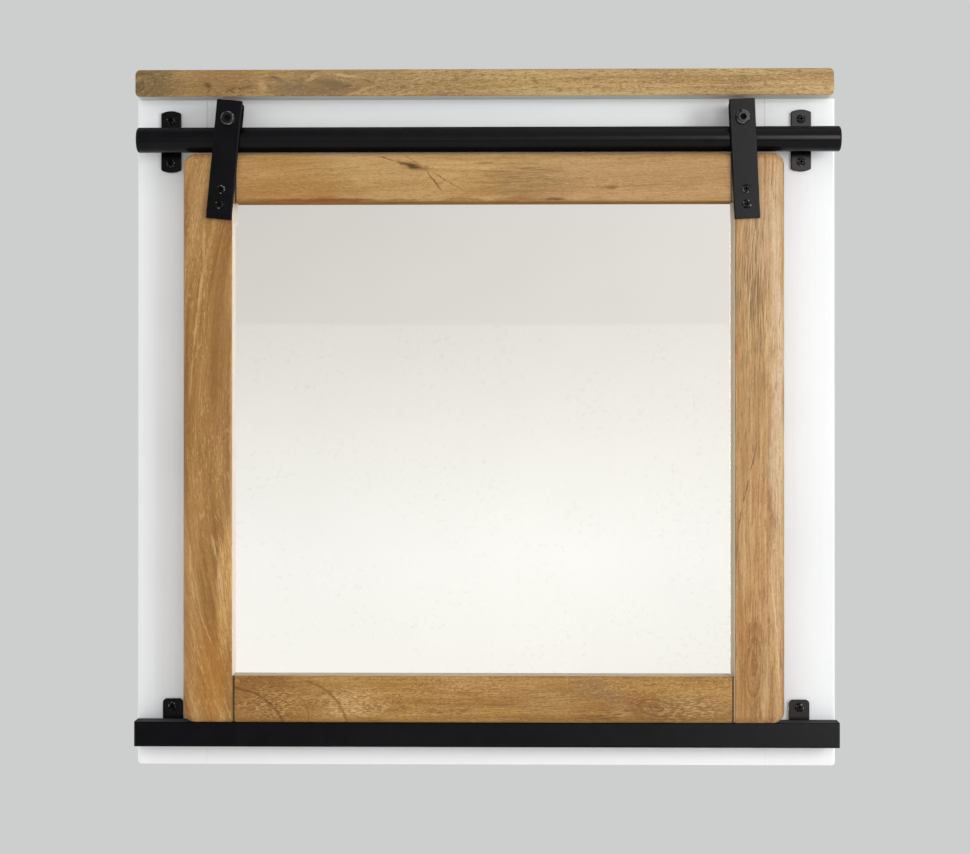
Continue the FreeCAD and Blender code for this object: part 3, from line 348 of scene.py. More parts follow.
    def arc(self, centre, radii, start, width, colour, share):
        """One growth line along an oval, from a place along the member onwards."""
        off_line = self.off(self.oval(self.frayed, centre, radii), 1.0)
        begun = self.between(self.along, start, start + self.ARC_BEGINNING)
        self.tint(self.times(self.between(off_line, 0.0, width, share, 0.0), begun), linear(*colour))

    def figure(self, centre, radii, lines, colour, share, turn=0.0):
        """A nest of growth lines round a knot."""
        reach = self.oval(self.ragged, centre, radii, turn)
        rings = self.between(self.bands(reach, lines), 0.44, 0.62)
        within = self.between(reach, *self.FIGURE_FADE, share, 0.0)
        self.tint(self.times(rings, within), linear(*colour))

    def joint(self, end, inset):
        """A rail's end: a pale strip of painted highlight, as on a rounded edge, then a dark groove an inset
        away from the stile.
        """
        edge = abs(inset)
        # Painted highlight: a pale strip at the rail's end, as light on the stile's rounded edge
        painted_edge_highlight = self.between(self.off(self.along, end), edge - self.EDGE_HIGHLIGHT_FADE, edge, self.WORN_SHARE, 0.0)
        self.tint(painted_edge_highlight, self.WORN_COLOUR)
        off_groove = self.off(self.along, end + inset)
        groove = self.between(off_groove, *self.GROOVE_REACH, self.GROOVE_SHARE, 0.0)
        self.tint(groove, self.GROOVE_COLOUR)

    def face_colour_and_reflection(self, direction, colour):
        """A flat, unpolished tint on faces that turn towards a direction. On the lips by the mirror it is
        painted reflection; on other faces it is their own colour.
        """
        share = self.turned(direction)
        self.tint(share, linear(*colour))
        self.dull = share

    def oiled(self):
        """Relief and gloss, with dust that dulls the tops. The last step."""
        relief = self.math("SUBTRACT", self.fibres, self.hollows)
        self.bump(relief, distance=0.0002, strength=0.4)
        roughness = self.math("MULTIPLY_ADD", self.fibres, self.FIBRE_DULLNESS, self.look["gloss_floor"])
        roughness = self.math("MAXIMUM", roughness, self.turned(UP))
        if self.dull:
            roughness = self.math("MAXIMUM", roughness, self.dull)
        return self.finish(self.colour, roughness, specular=self.look["specular"])


# The look that each member changes a little: tones, then grain, small marks and gloss.
# A run is a scale along the grain, and marks show where the noise is above their "from".
OILED = {
    "dark": linear(160, 119, 64),
    "middle": linear(178, 141, 84),
    "pale": linear(192, 157, 102),
    "rings": 45.0,
    "ring_share": 0.25,
    "streak_run": 12.0,
    "streak_width": 240.0,
    "streak_share": 0.4,
    "lean": 0.03,
    "bow": 0.0,
    "sway": 0.012,
    "fibre": linear(222, 205, 180),
    "fibre_share": 0.45,
    "grit_share": 0.35,
    "even": 0.5,
    "speck": linear(108, 72, 34),
    "speck_run": 330.0,
    "speck_from": 0.56,
    "speck_share": 0.4,
    "dash": linear(114, 78, 40),
    "dash_run": 110.0,
    "dash_from": 0.58,
    "dash_share": 0.4,
    "fleck": linear(206, 170, 114),
    "fleck_run": 190.0,
    "fleck_from": 0.57,
    "fleck_share": 0.2,
    "gloss_floor": 0.26,
    "specular": 0.28,
}
DARK_CRACK = (88, 50, 8)
GREY_STAIN = (126, 96, 50)
RUST_STAIN = (122, 64, 4)

opening_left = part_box("door_stile_left")[1][0]
opening_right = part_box("door_stile_right")[0][0]


def left_stile_wood():
    """Slanting bands, paler towards the mirror, with a painted highlight along the rounded edge there, and
    more orange at the foot.
    """
    look = {
        **OILED, "dark": linear(142, 101, 49), "middle": linear(163, 122, 66), "pale": linear(186, 146, 90),
        "lean": 0.227, "bow": 0.53, "rings": 60.0, "ring_share": 0.45,
        "streak_run": 7.0, "streak_share": 0.45,
        "dash_share": 0.25, "fleck_run": 120.0, "fleck_share": 0.4, "even": 0.1,
    }
    paint = Wood("door_left_wood", "upright", seed=1.3, look=look)
    for centre, radii, colour, share in (
        ((0.0, -0.285), (0.07, 0.011), (176, 140, 94), 0.5),
        ((-0.38, -0.289), (0.15, 0.01), (182, 140, 86), 0.55),
        ((-0.19, -0.256), (0.17, 0.012), (138, 100, 52), 0.65),
        ((-0.25, -0.275), (0.13, 0.008), (180, 138, 84), 0.4),
        ((-0.385, -0.256), (0.065, 0.01), (204, 158, 96), 0.6),
        ((-0.46, -0.27), (0.06, 0.02), (174, 118, 46), 0.6),
    ):
        paint.zone(centre, radii, colour, share)
    paint.pores()
    paint.scores(centre=(-0.37, -0.257), radii=(0.09, 0.008), run=70.0, colour=(214, 172, 110), share=0.7)
    # Painted highlight: a pale streak along the rounded edge by the mirror
    paint.streak(centre=(-0.25, opening_left), radii=(0.26, 0.003), colour=(206, 172, 124), share=0.4)
    gold = (202, 166, 112)
    for start, end, width, share in (
        ((-0.015, -0.277), (-0.066, -0.2783), 0.0016, 0.45),
        ((-0.058, -0.2778), (-0.108, -0.2846), 0.0016, 0.5),
        ((-0.1, -0.284), (-0.148, -0.2884), 0.0016, 0.5),
        ((-0.14, -0.288), (-0.2, -0.2922), 0.0016, 0.4),
        ((-0.325, -0.2928), (-0.372, -0.2897), 0.0012, 0.55),
        ((-0.366, -0.2902), (-0.396, -0.2858), 0.0012, 0.55),
        ((-0.39, -0.2866), (-0.44, -0.2672), 0.001, 0.4),
        ((-0.32, -0.2706), (-0.354, -0.2635), 0.0018, 0.6),
        ((-0.346, -0.2648), (-0.394, -0.2574), 0.0022, 0.6),
        ((-0.386, -0.2584), (-0.424, -0.2537), 0.0018, 0.5),
    ):
        paint.crack(start, end, width, colour=gold, share=share)
    # Painted reflection: a pale tint on the lip beside the mirror, in place of light the mirror throws on it
    paint.face_colour_and_reflection(RIGHT, colour=(221, 208, 194))
    return paint.oiled()


def right_stile_wood():
    """Straight grey-brown lines above, a crack, a nest of growth lines at the foot, and a painted highlight
    along the outer edge.
    """
    look = {
        **OILED, "dark": linear(146, 107, 61), "middle": linear(172, 135, 89), "pale": linear(196, 163, 117),
        "lean": 0.01, "sway": 0.009, "rings": 120.0, "ring_share": 0.3,
        "streak_run": 9.0, "streak_width": 300.0, "streak_share": 0.5, "fibre_share": 0.6,
        "dash": linear(114, 84, 50), "dash_run": 60.0, "dash_from": 0.56, "dash_share": 0.6,
        "speck_share": 0.25, "gloss_floor": 0.2, "specular": 0.22,
    }
    paint = Wood("door_right_wood", "upright", seed=4.1, look=look)
    for centre, radii, colour, share in (
        ((-0.02, 0.276), (0.07, 0.02), (200, 172, 138), 0.55),
        # Painted highlight: the next zone is a pale band along the rounded outer edge
        ((-0.17, 0.287), (0.28, 0.009), (220, 195, 164), 0.65),
        ((-0.4, 0.288), (0.13, 0.008), (206, 170, 124), 0.55),
        ((-0.19, 0.254), (0.11, 0.008), (172, 132, 82), 0.55),
        ((-0.35, 0.267), (0.15, 0.01), (200, 158, 108), 0.45),
        ((-0.44, 0.256), (0.09, 0.012), (172, 122, 62), 0.6),
    ):
        paint.zone(centre, radii, colour, share)
    paint.pores()
    for centre, radii, run, colour, share in (
        ((-0.09, 0.266), (0.13, 0.02), 38.0, (206, 174, 128), 0.4),
        ((-0.09, 0.264), (0.13, 0.02), 45.0, (106, 82, 50), 0.8),
        ((-0.09, 0.266), (0.06, 0.008), 30.0, (92, 78, 54), 0.7),
    ):
        paint.scores(centre, radii, run, colour, share)
    cream = (216, 184, 138)
    paint.crack(start=(-0.36, 0.2815), end=(-0.438, 0.2888), width=0.0014, colour=cream, share=0.6)
    paint.crack(start=(-0.43, 0.2884), end=(-0.485, 0.29), width=0.0012, colour=cream, share=0.5)
    paint.streak(centre=(-0.142, 0.2475), radii=(0.014, 0.001), colour=(158, 88, 52), share=0.7, turn=-6.0)
    paint.streak(centre=(-0.418, 0.266), radii=(0.012, 0.009), colour=(140, 92, 42), share=0.5)
    brown = (98, 64, 34)
    for start, end, share in (
        ((-0.232, 0.2685), (-0.268, 0.2605), 0.85),
        ((-0.264, 0.2615), (-0.298, 0.2528), 0.85),
        ((-0.294, 0.254), (-0.325, 0.2485), 0.75),
        ((-0.32, 0.249), (-0.36, 0.2474), 0.6),
    ):
        paint.crack(start, end, width=0.0008, colour=brown, share=share)
    paint.scores(centre=(-0.436, 0.266), radii=(0.035, 0.007), run=60.0, colour=(112, 70, 30), share=0.75)
    paint.figure(
        centre=(-0.455, 0.265), radii=(0.062, 0.015), lines=10.0, colour=(116, 76, 34), share=0.7, turn=2.0,
    )
    # Painted reflection: a pale tint on the lip beside the mirror, in place of light the mirror throws on it
    paint.face_colour_and_reflection(LEFT, colour=(213, 203, 180))
    return paint.oiled()


def top_rail_wood():
    """A knot with cracks running out of it, grey stains to its right and a rusty line along the foot."""
    look = {
        **OILED, "dark": linear(161, 123, 68), "middle": linear(176, 142, 88), "pale": linear(190, 157, 106),
        "speck_share": 0.3, "dash_run": 130.0, "dash_share": 0.35,
    }
    paint = Wood("door_top_wood", "sideways", seed=2.6, look=look)
    for centre, radii, colour, share in (
        ((-0.21, 0.024), (0.08, 0.03), (172, 128, 68), 0.5),
        ((-0.07, 0.024), (0.08, 0.03), (190, 156, 102), 0.5),
        ((0.05, 0.02), (0.05, 0.022), (150, 118, 70), 0.55),
        ((0.15, 0.026), (0.14, 0.04), (169, 133, 90), 0.65),
        ((-0.06, 0.004), (0.26, 0.004), (136, 84, 28), 0.6),
    ):
        paint.zone(centre, radii, colour, share)
    paint.pores()
    paint.scores(centre=(0.035, 0.026), radii=(0.06, 0.022), run=60.0, colour=(112, 88, 54), share=0.6)
    for centre, radii, colour, share, turn in (
        ((-0.07, 0.0385), (0.02, 0.005), (104, 68, 22), 0.75, -12.0),
        ((-0.073, 0.039), (0.016, 0.0026), (70, 40, 4), 0.95, -15.0),
        ((-0.165, 0.005), (0.09, 0.0024), RUST_STAIN, 0.8, 0.0),
        ((0.0, 0.041), (0.012, 0.0018), GREY_STAIN, 0.7, 0.0),
        ((0.012, 0.033), (0.02, 0.0018), GREY_STAIN, 0.65, -4.0),
        ((0.03, 0.026), (0.03, 0.0014), GREY_STAIN, 0.6, -5.0),
        ((0.05, 0.035), (0.035, 0.0014), GREY_STAIN, 0.55, -6.0),
        ((0.04, 0.013), (0.04, 0.002), GREY_STAIN, 0.6, 2.0),
        ((0.07, 0.006), (0.014, 0.002), DARK_CRACK, 0.85, 0.0),
        ((0.1255, 0.0174), (0.009, 0.0024), (110, 70, 22), 0.8, 4.0),
        ((0.16, 0.0192), (0.045, 0.0013), (132, 94, 54), 0.65, 2.0),
        ((0.115, 0.0175), (0.02, 0.001), (132, 94, 54), 0.6, 0.0),
        ((0.19, 0.034), (0.05, 0.0009), (160, 118, 76), 0.5, 5.0),
    ):
        paint.streak(centre, radii, colour, share, turn)
    for start, end, width, share in (
        ((-0.112, 0.05), (-0.083, 0.042), 0.0007, 0.75),
        ((-0.083, 0.051), (-0.064, 0.04), 0.0006, 0.6),
        ((-0.06, 0.037), (-0.039, 0.0098), 0.0009, 0.85),
        ((-0.059, 0.037), (-0.0115, 0.0088), 0.0007, 0.6),
    ):
        paint.crack(start, end, width, colour=DARK_CRACK, share=share)
    paint.joint(opening_left, inset=0.0033)
    paint.joint(opening_right, inset=-0.0033)
    paint.face_colour_and_reflection(DOWN, colour=(140, 98, 34))
    return paint.oiled()


def bottom_rail_wood():
    """Speckled all over, with curved growth lines at the left and a knot at the right."""
    look = {
        **OILED, "dark": linear(148, 106, 48), "middle": linear(166, 127, 64), "pale": linear(184, 147, 84),
        "lean": 0.02, "even": 0.55, "grit_share": 0.6, "speck_from": 0.53, "speck_share": 0.6,
        "dash_share": 0.65, "fleck_run": 300.0, "fleck_share": 0.35,
    }
    paint = Wood("door_bottom_wood", "sideways", seed=7.9, look=look)
    for centre, radii, colour, share, turn in (
        ((-0.22, -0.484), (0.05, 0.035), (136, 93, 40), 0.8, 0.0),
        ((0.0, -0.474), (0.07, 0.014), (194, 154, 96), 0.6, 0.0),
        ((0.11, -0.478), (0.04, 0.012), (150, 120, 80), 0.6, -20.0),
        ((0.13, -0.5), (0.012, 0.01), (192, 156, 104), 0.6, 0.0),
        ((0.195, -0.499), (0.08, 0.019), (132, 96, 46), 0.75, 0.0),
        ((-0.14, -0.495), (0.04, 0.016), (190, 152, 98), 0.55, 0.0),
        ((0.065, -0.49), (0.045, 0.014), (186, 152, 98), 0.5, 0.0),
    ):
        paint.zone(centre, radii, colour, share, turn)
    paint.pores()
    for centre, radii, run, colour, share in (
        ((-0.21, -0.492), (0.05, 0.022), 260.0, (198, 158, 100), 0.7),
        ((-0.13, -0.493), (0.04, 0.02), 220.0, (212, 178, 124), 0.75),
        ((0.03, -0.488), (0.13, 0.022), 60.0, (120, 84, 38), 0.65),
        ((-0.036, -0.498), (0.03, 0.009), 120.0, (112, 74, 30), 0.8),
        ((0.118, -0.502), (0.034, 0.008), 90.0, (98, 62, 22), 0.85),
        ((0.2, -0.498), (0.05, 0.02), 170.0, (200, 162, 108), 0.65),
    ):
        paint.scores(centre, radii, run, colour, share)
    for centre, radii, start, width, colour, share in (
        ((-0.26, -0.519), (0.0615, 0.0435), -0.27, 0.036, (92, 54, 4), 0.75),
        ((-0.19, -0.52), (0.0545, 0.052), -0.19, 0.04, (116, 74, 24), 0.7),
        ((-0.192, -0.506), (0.0185, 0.022), -0.19, 0.1, (116, 74, 24), 0.6),
    ):
        paint.arc(centre, radii, start, width, colour, share)
    paint.figure(
        centre=(0.169, -0.4956), radii=(0.034, 0.016), lines=9.0, colour=(108, 66, 18), share=0.85, turn=-8.0,
    )
    paint.figure(centre=(-0.157, -0.491), radii=(0.016, 0.014), lines=7.0, colour=(122, 82, 32), share=0.6)
    paint.joint(opening_left, inset=0.0016)
    paint.joint(opening_right, inset=-0.002)
    # Painted reflection: a pale tint on the lip below the mirror, in place of light the mirror throws on it
    paint.face_colour_and_reflection(UP, colour=(182, 170, 152))
    return paint.oiled()


def cornice_wood():
    """Paler and greyer than the door, with a knot at the left end and a clouded stretch beside it."""
    look = {
        **OILED, "dark": linear(150, 122, 74), "middle": linear(174, 146, 96), "pale": linear(190, 164, 114),
        "lean": 0.02, "rings": 80.0, "ring_share": 0.3, "even": 0.6, "grit_share": 0.6,
        "speck": linear(108, 82, 46),
        "dash": linear(112, 84, 46), "dash_run": 130.0, "dash_from": 0.53, "dash_share": 0.7,
        "fleck": linear(206, 182, 136), "fleck_run": 300.0, "fleck_share": 0.3,
    }
    paint = Wood("cornice_board_wood", "sideways", seed=5.2, look=look)
    for centre, radii, colour, share in (
        ((-0.33, 0.122), (0.032, 0.03), (124, 102, 66), 0.85),
        ((-0.26, 0.124), (0.055, 0.022), (152, 118, 72), 0.85),
        ((-0.17, 0.12), (0.06, 0.02), (126, 102, 70), 0.75),
        ((-0.105, 0.127), (0.045, 0.016), (146, 120, 76), 0.65),
        ((-0.04, 0.12), (0.05, 0.02), (160, 134, 88), 0.5),
    ):
        paint.zone(centre, radii, colour, share)
    paint.pores()
    for centre, radii, colour, share, turn in (
        ((-0.275, 0.121), (0.005, 0.006), (98, 72, 40), 0.75, 60.0),
        ((-0.252, 0.118), (0.006, 0.0025), (106, 78, 44), 0.7, 30.0),
        ((-0.236, 0.12), (0.008, 0.002), (106, 78, 44), 0.7, 20.0),
        ((-0.205, 0.126), (0.016, 0.004), (112, 94, 70), 0.7, -24.0),
        ((-0.19, 0.118), (0.018, 0.003), (114, 94, 70), 0.6, 28.0),
        ((-0.15, 0.122), (0.024, 0.006), (110, 88, 56), 0.75, -10.0),
        ((-0.14, 0.131), (0.02, 0.002), (190, 162, 110), 0.7, -8.0),
        ((-0.172, 0.129), (0.012, 0.003), (184, 156, 106), 0.6, 35.0),
        ((-0.125, 0.115), (0.03, 0.002), (178, 148, 98), 0.6, 20.0),
    ):
        paint.streak(centre, radii, colour, share, turn)
    paint.figure(
        centre=(-0.345, 0.12), radii=(0.036, 0.022), lines=9.0, colour=(84, 68, 44), share=0.75, turn=35.0,
    )
    curl = (88, 60, 20)
    for start, end, width, share in (
        ((-0.279, 0.125), (-0.273, 0.118), 0.0009, 0.8),
        ((-0.273, 0.118), (-0.278, 0.113), 0.0009, 0.7),
        ((-0.256, 0.1165), (-0.248, 0.1135), 0.001, 0.7),
        ((-0.2475, 0.1195), (-0.241, 0.116), 0.001, 0.75),
    ):
        paint.crack(start, end, width, colour=curl, share=share)
    paint.streak(centre=(-0.2215, 0.121), radii=(0.006, 0.009), colour=(190, 152, 102), share=0.6, turn=20.0)
    for start, end, width, share in (
        ((-0.215, 0.131), (-0.203, 0.128), 0.0012, 0.7),
        ((-0.124, 0.1275), (-0.108, 0.1225), 0.001, 0.7),
        ((-0.146, 0.1185), (-0.128, 0.1215), 0.0009, 0.65),
    ):
        paint.crack(start, end, width, colour=curl, share=share)
    paint.face_colour_and_reflection(DOWN, colour=(206, 206, 203))
    return paint.oiled()


def peg_wood(name, run, seed):
    """Bare pale dowel stock."""
    look = {
        **OILED,
        "dark": linear(190, 160, 118), "middle": linear(206, 178, 136), "pale": linear(218, 194, 156),
    }
    paint = Wood(name, run, seed, look)
    paint.pores()
    return paint.oiled()


dress(left_stile_wood(), "door_stile_left")
dress(right_stile_wood(), "door_stile_right")
dress(top_rail_wood(), "door_top_rail")
dress(bottom_rail_wood(), "door_bottom_rail")
dress(cornice_wood(), "cornice_board")
dress(peg_wood("frame_dowel_wood", "sideways", seed=9.4), "frame_dowels")
dress(peg_wood("cornice_dowel_wood", "upright", seed=3.3), "cornice_dowels")


seam_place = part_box("white_stile_right")[0][0]
bar_low, bar_high = (corner[2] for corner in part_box("bottom_bar"))
tube_low, tube_high = (corner[2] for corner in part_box("rail_tube"))

# Scales of brush strokes and of grain, along, across and into a painted member
STROKE_SCALE = (9, 420, 420)
PAINTED_GRAIN_SCALE = (30, 900, 900)
# White paint: how much of its tone is cloudy, and how much of each tint shows; the foot and crown tints are
# painted light
CLOUD_SHARE = 0.6
FOOT_PAINTED_LIGHT = 0.7
CROWN_PAINTED_LIGHT = 0.25
PIT_SHARE = 0.08
SEAM_SHARE = 0.28
LOW_SEAM_SHARE = 0.3
# Distances in metres over which the seam fades
SEAM_REACH = (0.0002, 0.0009)


def white_paint(name, run, seed):
    """Brushed white paint over wood, with the grain and the frame's seam showing through a little, and
    painted light that whitens it beside the bottom bar and above the tube.
    """
    paint = Paint(name)
    axes = paint.split(paint.place())
    along, across, deep = (axes[letter] for letter in MEMBER_AXES[run])
    here = paint.vector("ADD", paint.combine(along, across, deep), (seed, seed, seed))
    strokes = paint.noise(paint.vector("MULTIPLY", here, STROKE_SCALE))
    grain = paint.noise(paint.vector("MULTIPLY", here, PAINTED_GRAIN_SCALE), roughness=0.6)
    cloud = paint.noise(here, scale=9.0, detail=2.0)
    tone = paint.math("MULTIPLY_ADD", cloud, CLOUD_SHARE, paint.times(strokes, 1 - CLOUD_SHARE))
    colour = paint.ramp(tone, ((0.3, linear(230, 232, 234)), (0.7, linear(237, 239, 241))))
    # Painted light: the paint is whitened beside the bottom bar and above the rail tube
    painted_foot_light = paint.between(axes["Z"], bar_low, bar_high, FOOT_PAINTED_LIGHT, 0.0)
    painted_crown_light = paint.between(axes["Z"], tube_low, tube_high, 0.0, CROWN_PAINTED_LIGHT)
    colour = paint.mix(paint.math("ADD", painted_foot_light, painted_crown_light), colour, linear(252, 252, 252))
    pits = paint.between(grain, 0.6, 0.72)
    colour = paint.mix(paint.times(pits, PIT_SHARE), colour, linear(200, 200, 198))
    off_seam = paint.off(paint.math("ABSOLUTE", axes["X"]), seam_place)
    seam = paint.between(off_seam, *SEAM_REACH, SEAM_SHARE, 0.0)
    seam = paint.times(seam, paint.between(axes["Z"], bar_low, bar_high, LOW_SEAM_SHARE, 1.0))
    colour = paint.mix(seam, colour, linear(150, 150, 148))
    paint.bump(paint.math("MULTIPLY_ADD", pits, -0.6, strokes), distance=0.0001, strength=0.4)
    roughness = paint.math("MULTIPLY_ADD", strokes, 0.14, 0.3)
    return paint.finish(colour, roughness, specular=0.3)


dress(white_paint("white_left_paint", "upright", seed=0.4), "white_stile_left")
dress(white_paint("white_right_paint", "upright", seed=2.2), "white_stile_right")
dress(white_paint("white_top_paint", "sideways", seed=3.1), "white_top_rail")
dress(white_paint("white_bottom_paint", "sideways", seed=5.7), "white_bottom_rail")


# A black coat's lighter patches in screen values, the grey of dust and painted sheen on its tops, and the
# roughness of dusty tops and cut sides
COAT_LIFT = 6
DUST_AND_SHEEN_GREY = linear(120, 120, 122)
DULL_FACE = 0.9


def black_coat(name, tone, rough, orange_peel, specular, top_dust_and_sheen=0.0):
    """Black coating with a fine orange-peel skin, its tops tinted grey by dust and painted sheen, dulled by
    dust on tops and by the cut on sides.
    """
    paint = Paint(name)
    here = paint.place()
    skin = paint.noise(here, scale=900.0, detail=2.0)
    dust = paint.noise(here, scale=60.0, detail=5.0, roughness=0.65)
    lifted = (channel + COAT_LIFT for channel in tone)
    colour = paint.ramp(dust, ((0.35, linear(*tone)), (0.75, linear(*lifted))))
    if top_dust_and_sheen:
        # Dust and painted sheen: up-facing faces are tinted lighter grey
        colour = paint.mix(paint.times(paint.turned(UP), top_dust_and_sheen), colour, DUST_AND_SHEEN_GREY)
    roughness = paint.math("MULTIPLY_ADD", dust, 0.12, rough)
    for direction in (UP, RIGHT, LEFT):
        roughness = paint.math("MAXIMUM", roughness, paint.times(paint.turned(direction), DULL_FACE))
    paint.bump(skin, distance=0.00006, strength=orange_peel)
    return paint.finish(colour, roughness, specular=specular)


# Depths in metres behind a head's front between which its recess, and the painted shade in it, starts
RECESS_DEPTHS = (0.0003, 0.0008)
# How far past its threshold the noise shows the rim's lighter metal, part wear and part painted glint, in
# full
RUB_AND_GLINT_EDGE = 0.12


def black_oxide(name, front, specular, rub_and_glint_from, rub_and_glint_share):
    """Black oxide on heads with their fronts at one depth, dull and darkened by painted shade in the recess,
    and lighter at the rim by wear and painted glint.
    """
    paint = Paint(name)
    here = paint.place()
    ahead = paint.facing(FORWARD)
    flat = paint.between(ahead, 0.86, 0.97)
    rounded = paint.times(paint.between(ahead, 0.3, 0.55), paint.math("SUBTRACT", 1.0, flat))
    patches = paint.noise(here, scale=420.0, detail=2.0)
    # Wear and painted glint: the rounded rim is lightened in patches
    rub_and_glint = paint.between(patches, rub_and_glint_from, rub_and_glint_from + RUB_AND_GLINT_EDGE)
    rub_and_glint = paint.times(rub_and_glint, rounded, rub_and_glint_share)
    deep = paint.between(paint.split(here)["Y"], *(front + depth for depth in RECESS_DEPTHS))
    # Painted shade: the recess floor is darkened to near black
    painted_recess_shade = paint.times(flat, deep)
    colour = paint.mix(rub_and_glint, linear(9, 9, 11), linear(150, 151, 154))
    colour = paint.mix(painted_recess_shade, colour, linear(2, 2, 2))
    paint.bump(patches, distance=0.00005, strength=0.3)
    roughness = paint.math("MAXIMUM", paint.math("MULTIPLY_ADD", patches, 0.1, 0.14), painted_recess_shade)
    return paint.finish(colour, roughness, specular=specular)


def zinc_plate():
    """Zinc-plated steel with a cloudy plating."""
    paint = Paint("zinc_plate")
    here = paint.place()
    cloud = paint.noise(here, scale=180.0, detail=4.0)
    colour = paint.ramp(cloud, ((0.3, linear(176, 178, 180)), (0.7, linear(206, 207, 207))))
    paint.bump(paint.noise(here, scale=1500.0, detail=2.0), distance=0.00005, strength=0.4)
    return paint.finish(colour, paint.math("MULTIPLY_ADD", cloud, 0.2, 0.28), metallic=1.0)


dress(
    black_coat("black_powder_coat", tone=(3, 3, 7), rough=0.18, orange_peel=0.25, specular=0.11, top_dust_and_sheen=0.2),
    "bracket_stem_left", "bracket_stem_right", "bottom_bar",
    "hanger_strap_left", "hanger_strap_right", "roller_left", "roller_right",
)
dress(
    black_coat("black_tube_coat", tone=(4, 4, 8), rough=0.12, orange_peel=0.15, specular=0.17),
    "rail_tube",
)
dress(
    black_coat("black_plate_coat", tone=(1, 1, 2), rough=0.15, orange_peel=0.2, specular=0.16),
    "rail_bracket_left", "rail_bracket_right", "bar_tab_left", "bar_tab_right",
)
bolt_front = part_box("axle_bolt_left")[0][1]
dress(
    black_oxide("black_oxide_bolts", bolt_front, specular=0.3, rub_and_glint_from=0.44, rub_and_glint_share=0.35),
    "axle_bolt_left", "axle_bolt_right",
)
for screws in ("bracket_screws", "tab_screws", "strap_screws"):
    screw_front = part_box(screws)[0][1]
    dress(
        black_oxide(f"black_oxide_{screws}", screw_front, specular=0.12, rub_and_glint_from=0.52, rub_and_glint_share=0.8),
        screws,
    )
dress(
    black_coat("black_moulded_plastic", tone=(9, 9, 10), rough=0.3, orange_peel=0.25, specular=0.16),
    "tube_cap_left", "tube_cap_right", "bar_plug_left", "bar_plug_right",
)
dress(
    zinc_plate(),
    "keyhole_plate_left", "keyhole_plate_right", "keyhole_plate_screws", "backing_clips", "clip_screws",
    "axle_nut_left", "axle_nut_right",
)


# Strips of painted reflection on the glass, in metres: widths at the right edge and at the left, and the left
# one's foot
EDGE_STRIP = 0.0032
CORNER_STRIP = 0.0042
STRIP_FADE = 0.0004
CORNER_FOOT = -0.0175
FOOT_FADE = 0.001
STRIP_ROUGHNESS = 0.7


def silvered_glass():
    """Mirror glass with the faintest haze, and pale matt strips of painted reflection along the right edge
    and in a corner.
    """
    paint = Paint("silvered_glass")
    place = paint.place()
    haze = paint.noise(place, scale=14.0, detail=4.0, roughness=0.6)
    colour = paint.ramp(haze, ((0.3, linear(251, 252, 251)), (0.7, linear(253, 254, 253))))
    roughness = paint.between(haze, 0.45, 0.8, 0.004, 0.014)
    axes = paint.split(place)
    inner = opening_right - EDGE_STRIP
    edge = paint.between(axes["X"], inner - STRIP_FADE, inner + STRIP_FADE)
    inner = opening_left + CORNER_STRIP
    corner = paint.between(axes["X"], inner - STRIP_FADE, inner + STRIP_FADE, 1.0, 0.0)
    above = paint.between(axes["Z"], CORNER_FOOT - FOOT_FADE, CORNER_FOOT + FOOT_FADE)
    corner = paint.times(corner, above)
    # Painted reflection: pale matt colour stands in for the frame's edge as the mirror would show it
    colour = paint.mix(edge, colour, linear(200, 190, 174))
    colour = paint.mix(corner, colour, linear(219, 216, 206))
    painted_strips = paint.math("MAXIMUM", edge, corner)
    roughness = paint.math("MAXIMUM", roughness, paint.times(painted_strips, STRIP_ROUGHNESS))
    return paint.finish(colour, roughness, metallic=paint.math("SUBTRACT", 1.0, painted_strips))


def hardboard():
    """Pressed brown fibre board."""
    paint = Paint("brown_hardboard")
    here = paint.place()
    fibres = paint.noise(here, scale=700.0, detail=4.0, roughness=0.7)
    cloud = paint.noise(here, scale=25.0)
    tone = paint.math("MULTIPLY_ADD", cloud, 0.4, paint.times(fibres, 0.6))
    colour = paint.ramp(tone, ((0.35, linear(104, 74, 46)), (0.65, linear(140, 104, 68))))
    paint.bump(fibres, distance=0.0002, strength=0.5)
    return paint.finish(colour, paint.math("MULTIPLY_ADD", fibres, 0.2, 0.6))


dress(silvered_glass(), "mirror_glass")
dress(hardboard(), "backing_board")

# The floor's depth below the part and half its width, in metres
FLOOR_DROP = 0.75
FLOOR_REACH = 2.9
# What the camera sees behind the part, and the strength of the light from all round
BACKDROP = linear(205, 207, 206)
AMBIENT = 1.01
# The point in metres that the lamps aim at
AIM = (0.0, 0.0, -0.2)
# The camera, fitted to edges in the photograph: millimetres, metres and degrees
SENSOR_WIDTH = 36.0
FOCAL_LENGTH = 77.43
CAMERA_PLACE = (0.03536, -2.1225, -0.22606)
CAMERA_YAW = -0.976
CAMERA_PITCH = 0.195


def lay_floor():
    """A pale matt floor, well below the part."""
    mesh = bpy.data.meshes.new("floor")
    height = cad_box[0][2] - FLOOR_DROP
    corners = [(x * FLOOR_REACH, y * FLOOR_REACH, height) for x, y in ((-1, -1), (1, -1), (1, 1), (-1, 1))]
    mesh.from_pydata(corners, [], [(0, 1, 2, 3)])
    paint = Paint("pale_floor")
    cloud = paint.noise(paint.place(), scale=3.0)
    colour = paint.ramp(cloud, ((0.3, linear(214, 214, 212)), (0.7, linear(219, 219, 217))))
    mesh.materials.append(paint.finish(colour, paint.between(cloud, 0.2, 0.8, 0.9, 1.0), specular=0.0))
    floor = bpy.data.objects.new("floor", mesh)
    scene.collection.objects.link(floor)


def soft_box(name, place, width, height, watts):
    """A rectangular lamp that aims at the part."""
    lamp = bpy.data.lights.new(name, "AREA")
    lamp.shape = "RECTANGLE"
    lamp.size = width
    lamp.size_y = height
    lamp.energy = watts
    holder = bpy.data.objects.new(name, lamp)
    holder.location = place
    holder.rotation_euler = (Vector(AIM) - Vector(place)).to_track_quat("-Z", "Y").to_euler()
    scene.collection.objects.link(holder)


